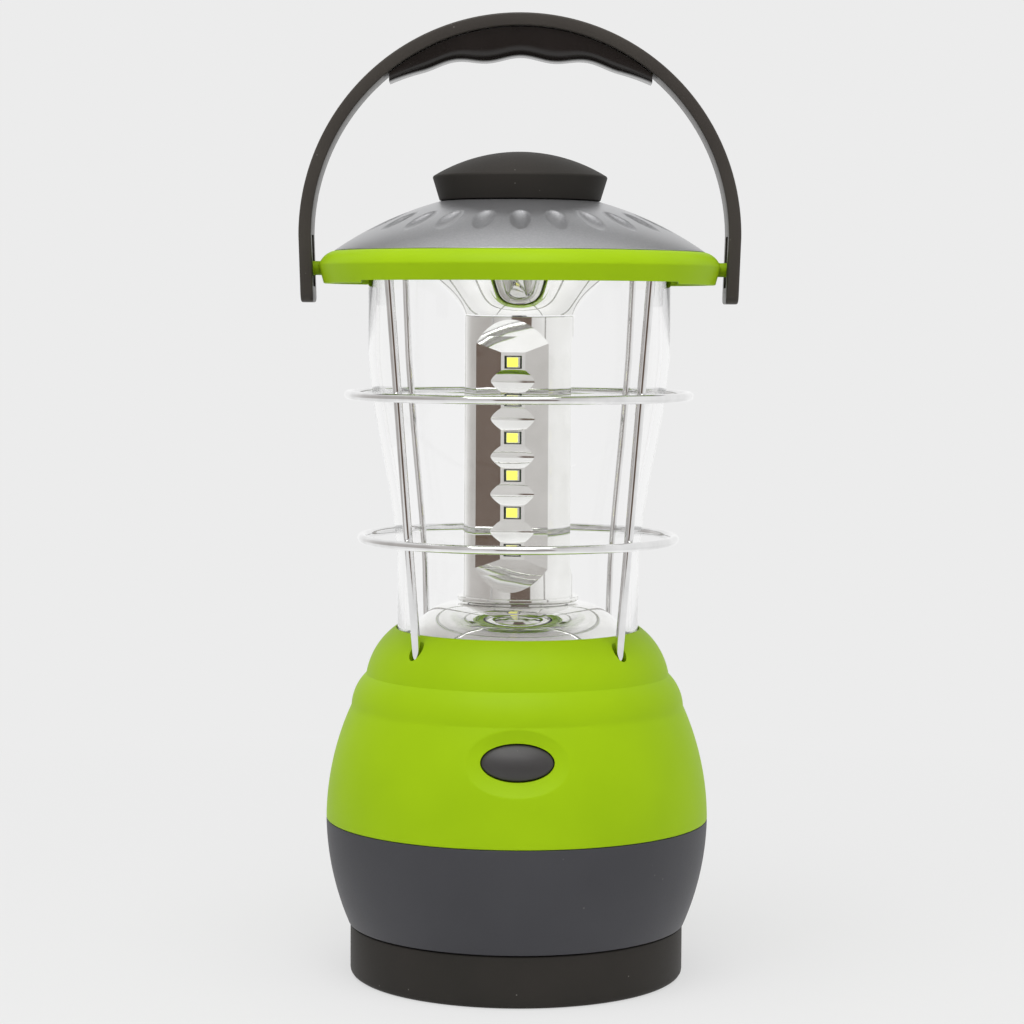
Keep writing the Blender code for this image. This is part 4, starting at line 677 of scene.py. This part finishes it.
def makeLeds():
    # a white package with a shallow window of phosphor, which sits a little to one side
    depth, width, height = leds["size"]
    halfWidth, halfHeight = leds["window"]
    base = column["boardFace"] + leds["seat"]
    for index in range(column["troughs"]):
        for number, level in enumerate(ledHeights, 1):
            bm = bmesh.new()
            addBox(bm, (base, -width / 2, level - height / 2), (base + depth, width / 2, level + height / 2))
            softenEdges(bm, bm.edges[:], leds["edge"], 2)
            front = max(bm.faces, key=lambda face: face.calc_center_median().x + face.calc_area())
            bmesh.ops.inset_region(bm, faces=[front], thickness=leds["inset"] * mm, use_even_offset=True)
            for vert in front.verts:
                across = 1 if vert.co.y > 0 else -1
                up = 1 if vert.co.z > level * mm else -1
                vert.co.y = (leds["windowShift"] + across * halfWidth) * mm
                vert.co.z = (level + up * halfHeight) * mm
                vert.co.x -= leds["windowSink"] * mm
            front.material_index = 1
            bmesh.ops.transform(bm, matrix=troughPlace(index), verts=bm.verts)
            finishPiece(
                f"led_package_{index + 1}_{number}", bm, [ledHousing, ledPhosphor], "lantern",
                [f"led_{index + 1}_{number}"],
            )


# clear chimney: straight foot, S-shaped taper, straight head
chimney = {"foot": 31.885, "head": 39.685, "low": 86.8, "top": 187.2, "flareLow": 111, "flareHigh": 164,
           "flareSteps": 36, "ease": 0.35, "wall": 2, "edge": 0.3}


def makeChimney():
    part = chimney
    wall = [(part["head"], part["top"], part["edge"])]
    for index in range(part["flareSteps"] + 1):
        share = index / part["flareSteps"]
        ease = share - part["ease"] * math.sin(math.tau * share) / math.tau
        height = part["flareHigh"] + (part["flareLow"] - part["flareHigh"]) * share
        wall.append((part["head"] - (part["head"] - part["foot"]) * ease, height))
    wall.append((part["foot"], part["low"], part["edge"]))
    inside = [(point[0] - part["wall"], *point[1:]) for point in reversed(wall)]
    bm = turned(wall + inside, steps=192)
    finishPiece("clear_chimney", bm, [clearStyrene], "lantern", ["chimney"])


def makeCage():
    for index, (low, high) in enumerate(wireEnds(), 1):
        bm = bmesh.new()
        addRod(bm, low, high, cageWires["radius"], 28)
        finishPiece(
            f"chrome_upright_{index}", bm, [chromeWire], "lantern", [f"cage_upright_{index}"],
            sharp=50,
        )
    for node, radius, height in cageWires["hoops"]:
        bm = bmesh.new()
        placed = Matrix.Translation(Vector((radius, 0, height)) * mm) @ Matrix.Rotation(math.pi / 2, 4, "X")
        bmesh.ops.create_circle(bm, segments=20, radius=cageWires["radius"] * mm, matrix=placed)
        spinRound(bm, 200)
        finishPiece(node.replace("cage", "chrome"), bm, [chromeWire], "lantern", [node])


# green top ring with its ridge, the thicker foot beside the pivots and two pivot stubs
ring = {"radius": 52.685, "top": 191.2, "topIn": 3.7, "ridge": 187.6, "ridgeEdge": 0.25, "bulge": 0.65,
        "footIn": 1.3, "footLow": 182.75, "footEdge": 0.3, "low": 183.4, "wall": 2, "roofLow": 187.5,
        "roofTop": 190.3, "roofHole": 34, "land": 3.5, "lipFrom": 39.9, "pivot": 186.8, "stub": 1.85,
        "stubReach": 56.385, "socket": 1.45, "socketBelow": 3.8, "socketAbove": 1.3}


def makeRing():
    part = ring
    topR = part["radius"] - part["topIn"]
    skirt = part["radius"] - part["footIn"] - part["wall"]
    crest, ridge = (topR, part["top"]), (part["radius"], part["ridge"])
    bm = turned([
        crest,
        *arcPoints(crest, ridge, part["bulge"], 12)[:-1],
        (*ridge, part["ridgeEdge"]),
        (part["radius"] - part["footIn"], part["footLow"], part["footEdge"]),
        (skirt, part["footLow"], part["footEdge"]),
        (skirt, part["roofLow"]),
        (part["roofHole"], part["roofLow"]),
        (part["roofHole"], part["roofTop"]),
        (topR - part["land"], part["roofTop"]),
        (topR - part["land"], part["top"]),
    ], steps=224)
    lip = bmesh.new()
    far = part["radius"] + beyond
    addBox(lip, (-part["lipFrom"], -far, part["footLow"] - beyond), (part["lipFrom"], far, part["low"]))
    bm = carve(bm, lip)
    stubs = bmesh.new()
    for side in (-1, 1):
        root = (side * (part["radius"] - part["wall"]), 0, part["pivot"])
        addRod(stubs, root, (side * part["stubReach"], 0, part["pivot"]), part["stub"], 32)
    bm = carve(bm, stubs, "UNION")
    sockets = bmesh.new()
    for low, high in wireEnds():
        axis = (high - low).normalized()
        start, end = high - axis * part["socketBelow"], high + axis * part["socketAbove"]
        addRod(sockets, start, end, part["socket"], 16)
    bm = carve(bm, sockets)
    finishPiece("green_top_ring", bm, [limeAbs], "lantern", ["top_ring"], sharp=24)


# silver shade: a low dome with a ring of leaf-shaped dimples
shade = {"inner": (21.1, 204.3), "edge": (48.685, 191.3), "bulge": 1.3, "rim": 2.9, "rimEdge": 0.2,
         "wall": 2.2, "ceiling": 198.8, "well": 16, "wellLow": 201, "hub": 5, "hubLow": 176.4, "bore": 2.2,
         "dimples": 24, "dimpleRadius": 35.6, "dimpleLength": 10.5, "dimpleWidth": 5.2, "dimpleDepth": 1,
         "dimplePower": 0.85, "skin": 0.5}


def makeShade():
    part = shade
    (innerR, innerZ), (edgeR, edgeZ) = part["inner"], part["edge"]
    crown = [part["inner"], *arcPoints(part["inner"], part["edge"], part["bulge"], 64)]
    lowered = [(r - part["wall"], z - part["wall"]) for r, z in reversed(crown)]
    under = [point for point in lowered if edgeZ < point[1] < part["ceiling"] - part["wall"]]
    bm = turned([
        *crown[:-1],
        (*crown[-1], part["rimEdge"]),
        (edgeR - part["rim"], edgeZ),
        *under[::8],
        (part["well"] + part["wall"], part["ceiling"]),
        (part["hub"], part["ceiling"]),
        (part["hub"], part["hubLow"]),
        (part["bore"], part["hubLow"]),
        (part["bore"], part["wellLow"]),
        (part["well"], part["wellLow"]),
        (part["well"], innerZ),
    ], steps=part["dimples"] * 24)
    pitch = math.tau / part["dimples"]
    slope = math.atan2(innerZ - edgeZ, edgeR - innerR)
    for vert in bm.verts:
        radius = math.hypot(vert.co.x, vert.co.y) / mm
        level = innerZ - (radius - innerR) * math.tan(slope)
        if not innerR < radius < edgeR or vert.co.z / mm < level - part["skin"]:
            continue
        around = math.atan2(vert.co.y, vert.co.x)
        off = (around + pitch / 2) % pitch - pitch / 2
        along = (radius - part["dimpleRadius"]) / (part["dimpleLength"] / 2)
        across = radius * off / (part["dimpleWidth"] / 2)
        inside = 1 - along ** 2 - across ** 2
        if inside > 0:
            depth = part["dimpleDepth"] * inside ** part["dimplePower"] * mm
            out = math.sin(slope)
            vert.co -= Vector((math.cos(around) * out, math.sin(around) * out, math.cos(slope))) * depth
    finishPiece("silver_shade", bm, [silverPaint], "lantern", ["shade"])


# top cap: flared side and a low dome
cap = {"foot": 21.1, "footEdge": 0.25, "rim": 23, "low": 204.6, "rimZ": 210.8, "top": 217.4, "edge": 0.45,
       "spigot": 15.7, "spigotLow": 202.3, "wall": 2, "domeSteps": 32}


def makeCap():
    part = cap
    left, right = (-part["rim"], part["rimZ"]), (part["rim"], part["rimZ"])
    arch = arcPoints(left, right, part["top"] - part["rimZ"], 2 * part["domeSteps"])
    bm = turned([
        (0, part["top"]),
        *arch[part["domeSteps"]:-1],
        (part["rim"], part["rimZ"], part["edge"]),
        (part["foot"], part["low"], part["footEdge"]),
        (part["spigot"], part["low"]),
        (part["spigot"], part["spigotLow"]),
        (part["spigot"] - part["wall"], part["spigotLow"]),
        (part["spigot"] - part["wall"], part["rimZ"]),
        (0, part["top"] - 2 * part["wall"]),
    ], steps=160, closed=False)
    finishPiece("charcoal_cap", bm, [charcoalAbs], "lantern", ["top_cap"])


# bail handle: a flat band bent over the top, its legs leaning in, slotted where the stubs sit
handle = {"inner": 54.385, "outer": 57.685, "width": 14.5, "archZ": 195.3, "footZ": 177.8, "lean": 0.6,
          "edge": 0.5, "crispFrom": 60, "endRound": 2.5, "socket": 2.25, "socketDepth": 2.3, "slotAbove": 8.7,
          "slotBelow": 4.8, "slotWidth": 7.5, "slotDepth": 1}


def makeHandle():
    part = handle
    bm = bmesh.new()
    corners = [(part["inner"], -1), (part["outer"], -1), (part["outer"], 1), (part["inner"], 1)]
    verts = [bm.verts.new(Vector((x, side * part["width"] / 2, part["archZ"])) * mm) for x, side in corners]
    section = bm.faces.new(verts)
    bmesh.ops.spin(
        bm, geom=[section], cent=(0, 0, part["archZ"] * mm), axis=(0, -1, 0), angle=math.pi, steps=120
    )
    drop = (part["footZ"] - part["archZ"]) * mm
    for side in (1, -1):
        end = [
            face for face in bm.faces
            if all(abs(v.co.z - part["archZ"] * mm) < weld and v.co.x * side > 0 for v in face.verts)
        ]
        made = bmesh.ops.extrude_face_region(bm, geom=end)["geom"]
        moved = [item for item in made if isinstance(item, bmesh.types.BMVert)]
        bmesh.ops.translate(bm, verts=moved, vec=(-side * part["lean"] * mm, 0, drop))
        bmesh.ops.delete(bm, geom=[face for face in end if face.is_valid], context="FACES_ONLY")
    bmesh.ops.remove_doubles(bm, verts=bm.verts, dist=weld)
    bmesh.ops.recalc_face_normals(bm, faces=bm.faces)
    low = [
        edge for edge in bm.edges
        if all(abs(v.co.z - part["footZ"] * mm) < weld for v in edge.verts)
        and abs(edge.verts[0].co.y - edge.verts[1].co.y) < weld
    ]
    softenEdges(bm, low, part["endRound"], 8)
    corner = math.radians(part["crispFrom"])
    softenEdges(bm, [e for e in bm.edges if e.is_manifold and e.calc_face_angle() > corner], part["edge"], 3)
    slots, sockets = bmesh.new(), bmesh.new()
    for side in (-1, 1):
        near, floor = side * (part["inner"] - beyond), side * (part["inner"] + part["slotDepth"])
        addBox(
            slots, (min(near, floor), -part["slotWidth"] / 2, ring["pivot"] - part["slotBelow"]),
            (max(near, floor), part["slotWidth"] / 2, ring["pivot"] + part["slotAbove"]),
        )
        bottom = side * (part["inner"] + part["socketDepth"])
        addRod(sockets, (near, 0, ring["pivot"]), (bottom, 0, ring["pivot"]), part["socket"], 32)
    bm = carve(carve(bm, slots), sockets)
    finishPiece("bail_handle", bm, [handleNylon], "bail", ["handle"], sharp=32)


# finger grip under the arch: thin ends, three scallops
grip = {"reach": 34.2, "width": 11.8, "middle": 8.6, "end": 2.2, "gap": 0.3, "scallop": 1.2, "pitch": 17.2,
        "scallops": 3, "square": 5, "around": 40, "cuts": 180}


def makeGrip():
    part = grip
    bm = bmesh.new()
    bmesh.ops.create_cone(
        bm, cap_ends=False, segments=part["around"], radius1=1, radius2=1, depth=2,
        matrix=Matrix.Rotation(math.pi / 2, 4, "Y"),
    )
    longEdges = [edge for edge in bm.edges if abs(edge.verts[0].co.x - edge.verts[1].co.x) > 1]
    bmesh.ops.subdivide_edges(bm, edges=longEdges, cuts=part["cuts"])
    for vert in bm.verts:
        x = vert.co.x * part["reach"]
        angle = math.atan2(vert.co.z, vert.co.y)
        top = handle["archZ"] + math.sqrt((handle["inner"] - part["gap"]) ** 2 - x ** 2)
        thick = part["middle"] - (part["middle"] - part["end"]) * (x / part["reach"]) ** 2
        if abs(x) < part["pitch"] * part["scallops"] / 2:
            thick -= part["scallop"] * (0.5 + 0.5 * math.cos(math.tau * x / part["pitch"]))
        drop = 0
        if angle < 0:
            drop = thick * (1 - abs(math.cos(angle)) ** part["square"]) ** (1 / part["square"])
        vert.co = Vector((x, part["width"] / 2 * math.cos(angle), top - drop)) * mm
    bmesh.ops.holes_fill(bm, edges=[edge for edge in bm.edges if edge.is_boundary], sides=0)
    bmesh.ops.recalc_face_normals(bm, faces=bm.faces)
    finishPiece("finger_grip", bm, [gripRubber], "bail", ["handle_grip"], sharp=40)


pieces = (
    makeFoot, makeLowerShell, makeUpperShell, makeButton, makeMirrors, makeColumn, makeLeds, makeChimney,
    makeCage, makeRing, makeShade, makeCap, makeHandle, makeGrip,
)
for make in pieces:
    make()
    print("made:", make.__name__[4:])

# inner pieces that keep their solids: each takes the finish of its real material
innerFinish = {
    "cover_seal": sealRubber, "contact_disc": blackNylon, "battery_cradle": blackNylon,
    "push_switch": blackNylon, "switch_plunger": whiteNylon, "switch_board": solderMask,
    "tie_screw": zincSteel, "bottom_bridge": brass, "top_bridge": brass, "positive_plate": brass,
}
innerSets = (
    ("contact_spring", 3, springSteel), ("battery_cell", 3, cellJacket), ("led_board", 3, solderMask),
    ("deck_screw", 2, zincSteel), ("led_lead", 2, leadPvc),
)
for name, count, material in innerSets:
    innerFinish.update({f"{name}_{index}": material for index in range(1, count + 1)})
for name, material in innerFinish.items():
    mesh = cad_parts[name].data
    mesh.materials.clear()
    mesh.materials.append(material)
print("inner pieces finished:", len(innerFinish))

# stage, in metres: a pale floor that melts into the backdrop and keeps a soft shadow, with a painted pool of
# light round the lantern that only mirrors and glass see
stage = {"size": 0.55, "drop": 0.00005, "pale": 0.839, "seen": 0.875, "paper": 0.95, "near": 1.15,
         "nearFrom": 0.1, "nearTo": 0.22, "albedo": 0.8, "shadow": 0.3, "fadeFrom": 0.08, "fadeTo": 0.42,
         "fill": 0.6}
# the room that the mirrors show, by direction: brightness of its walls and where one turns into the next
room = {"front": 0.66, "back": 1, "depth": (-1, 0.8), "high": 0.45, "highDepth": (0.2, -0.3),
        "highRise": (0.55, 0.85), "left": 0.52, "leftReach": (-0.9, -0.5), "right": 1.2,
        "rightReach": (0.3, 0.8), "dark": "6a594e", "darkTurn": (-0.28, 0.45), "darkRise": (-0.3, 0.14),
        "darkSoft": 0.03, "wallPasses": (1.5, 1.1)}


def makeFloor():
    bm = bmesh.new()
    sunk = Matrix.Translation((0, 0, -stage["drop"]))
    bmesh.ops.create_grid(bm, x_segments=1, y_segments=1, size=stage["size"], matrix=sunk)
    mesh = bpy.data.meshes.new("studio_floor")
    bm.to_mesh(mesh)
    bm.free()
    floor = bpy.data.objects.new("studio_floor", mesh)
    scene.collection.objects.link(floor)
    material = bpy.data.materials.new("matt_white_paper")
    material.use_nodes = True
    tree = material.node_tree
    tree.nodes.clear()
    rays = addNode(tree, "LightPath").outputs
    paper = addNode(tree, "BsdfDiffuse", {"Color": (stage["albedo"],) * 3 + (1,)})
    # mirrors and glass see white paper, painted brighter close round the lantern as a painted pool of light;
    # the camera sees the backdrop's tone with a share of real shadow
    seen = addNode(tree, "Math", {
        "operation": "MAXIMUM", 0: rays["Is Glossy Ray"], 1: rays["Is Transmission Ray"],
    }).outputs[0]
    place = addNode(tree, "TexCoord").outputs["Object"]
    far = addNode(tree, "VectorMath", {"operation": "LENGTH", 0: place}).outputs["Value"]
    # painted pool of light: the paper's glow falls from the near level to the paper level with distance from
    # the lantern
    lit = addNode(tree, "MapRange", {
        "Value": far, "From Min": stage["nearFrom"], "From Max": stage["nearTo"],
        "To Min": stage["near"], "To Max": stage["paper"],
    }).outputs["Result"]
    level = addNode(tree, "MapRange", {"Value": seen, "To Min": stage["pale"], "To Max": lit})
    glow = addNode(tree, "Emission", {"Strength": 1, "Color": level.outputs["Result"]})
    share = addNode(tree, "MapRange", {
        "Value": far, "From Min": stage["fadeFrom"], "From Max": stage["fadeTo"],
        "To Min": 1 - stage["shadow"], "To Max": 1,
    }).outputs["Result"]
    direct = addNode(tree, "Math", {"operation": "MULTIPLY", 0: rays["Is Camera Ray"], 1: share})
    mix = addNode(tree, "Math", {"operation": "MAXIMUM", 0: seen, 1: direct.outputs[0]})
    surface = addNode(tree, "MixShader", {0: mix.outputs[0], 1: paper.outputs[0], 2: glow.outputs[0]})
    addNode(tree, "OutputMaterial", {"Surface": surface.outputs[0]})
    mesh.materials.append(material)


def makeWorld():
    world = bpy.data.worlds.new("studio")
    scene.world = world
    world.use_nodes = True
    tree = world.node_tree
    tree.nodes.clear()
    rays = addNode(tree, "LightPath").outputs
    way = addNode(tree, "SeparateXYZ", {0: addNode(tree, "TexCoord").outputs["Generated"]}).outputs
    # a greyer ceiling over the camera's side, a greyer wall on the left and a brighter one on the right
    bands = {}
    for name, axis, (start, end), low, high in (
        ("back", "Y", room["depth"], room["front"], room["back"]),
        ("ahead", "Y", room["highDepth"], 0, 1),
        ("up", "Z", room["highRise"], 0, 1),
        ("left", "X", room["leftReach"], room["left"], 1),
        ("right", "X", room["rightReach"], 1, room["right"]),
    ):
        bands[name] = addNode(tree, "MapRange", {
            "Value": way[axis], "From Min": start, "From Max": end, "To Min": low, "To Max": high,
        }).outputs["Result"]
    ceiling = addNode(tree, "Math", {"operation": "MULTIPLY", 0: bands["ahead"], 1: bands["up"]}).outputs[0]
    walls = addNode(tree, "MapRange", {"Value": ceiling, "To Min": bands["back"], "To Max": room["high"]})
    both = addNode(tree, "Math", {"operation": "MULTIPLY", 0: bands["left"], 1: bands["right"]}).outputs[0]
    sides = addNode(tree, "Math", {"operation": "MULTIPLY", 0: walls.outputs["Result"], 1: both}).outputs[0]
    # the dark end of the room behind the camera, which the mirrors show as a band
    toward = addNode(tree, "Math", {"operation": "MULTIPLY", 0: way["Y"], 1: -1}).outputs[0]
    azimuth = addNode(tree, "Math", {"operation": "ARCTAN2", 0: way["X"], 1: toward}).outputs[0]
    mask, soft = 1, room["darkSoft"]
    for source, (low, high) in ((azimuth, room["darkTurn"]), (way["Z"], room["darkRise"])):
        for edge, span in ((low, soft), (high, -soft)):
            side = addNode(tree, "MapRange", {
                "interpolation_type": "SMOOTHSTEP", "Value": source,
                "From Min": edge - span, "From Max": edge + span,
            }).outputs["Result"]
            mask = addNode(tree, "Math", {"operation": "MULTIPLY", 0: mask, 1: side}).outputs[0]
    level = addNode(tree, "MapRange", {"Value": mask, "To Min": sides, "To Max": 0}).outputs["Result"]
    tint = addNode(tree, "ValToRGB", {"stops": [(0, room["dark"]), (1, "ffffff")], "Fac": level})
    # only mirrored rays see the room: others see an even light, and the camera sees the backdrop
    mirrored = addNode(tree, "Math", {
        "operation": "GREATER_THAN", 0: rays["Glossy Depth"], 1: 0.5,
    }).outputs[0]
    plain = addNode(tree, "MapRange", {
        "Value": rays["Is Camera Ray"], "To Min": stage["fill"], "To Max": stage["pale"],
    }).outputs["Result"]
    through = addNode(tree, "MapRange", {
        "Value": rays["Is Transmission Ray"], "To Min": plain, "To Max": stage["seen"],
    }).outputs["Result"]
    # light that was mirrored inside the chimney's wall comes out as pale as the backdrop
    middle, spread = room["wallPasses"]
    trapped = addNode(tree, "Math", {
        "operation": "COMPARE", 0: rays["Transmission Depth"], 1: middle, 2: spread,
    }).outputs[0]
    free = addNode(tree, "Math", {"operation": "SUBTRACT", 0: 1, 1: trapped}).outputs[0]
    gate = addNode(tree, "Math", {"operation": "MULTIPLY", 0: mirrored, 1: free}).outputs[0]
    shown = addNode(tree, "Mix", {"data_type": "RGBA", 0: gate, 6: through, 7: tint.outputs["Color"]})
    fill = (stage["fill"],) * 3 + (1,)
    even = addNode(tree, "Mix", {
        "data_type": "RGBA", 0: rays["Is Diffuse Ray"], 6: shown.outputs[2], 7: fill,
    })
    background = addNode(tree, "Background", {"Strength": 1, "Color": even.outputs[2]})
    addNode(tree, "OutputWorld", {"Surface": background.outputs[0]})


# lamps, in metres and watts, all aimed at the middle of the lantern; only the top one shows as a highlight
lampAim = (0, 0, 0.12)
lamps = {
    "top_softbox": {"place": (-0.1, -0.45, 1.15), "size": 0.8, "watts": 9, "mirrored": True},
    "left_softbox": {"place": (-1.1, -0.5, 0.5), "size": 0.8, "watts": 0.3, "mirrored": False},
    "right_softbox": {"place": (1.1, -0.5, 0.5), "size": 0.8, "watts": 0.9, "mirrored": False},
}


def makeLamps():
    for name, look in lamps.items():
        data = bpy.data.lights.new(name, "AREA")
        data.shape = "SQUARE"
        data.size = look["size"]
        data.energy = look["watts"]
        lamp = bpy.data.objects.new(name, data)
        lamp.location = look["place"]
        lamp.visible_glossy = look["mirrored"]
        lamp.visible_transmission = False
        lamp.rotation_euler = (Vector(lampAim) - Vector(look["place"])).to_track_quat("-Z", "Y").to_euler()
        scene.collection.objects.link(lamp)


for make in (makeFloor, makeWorld, makeLamps):
    make()
    print("stage:", make.__name__[4:])
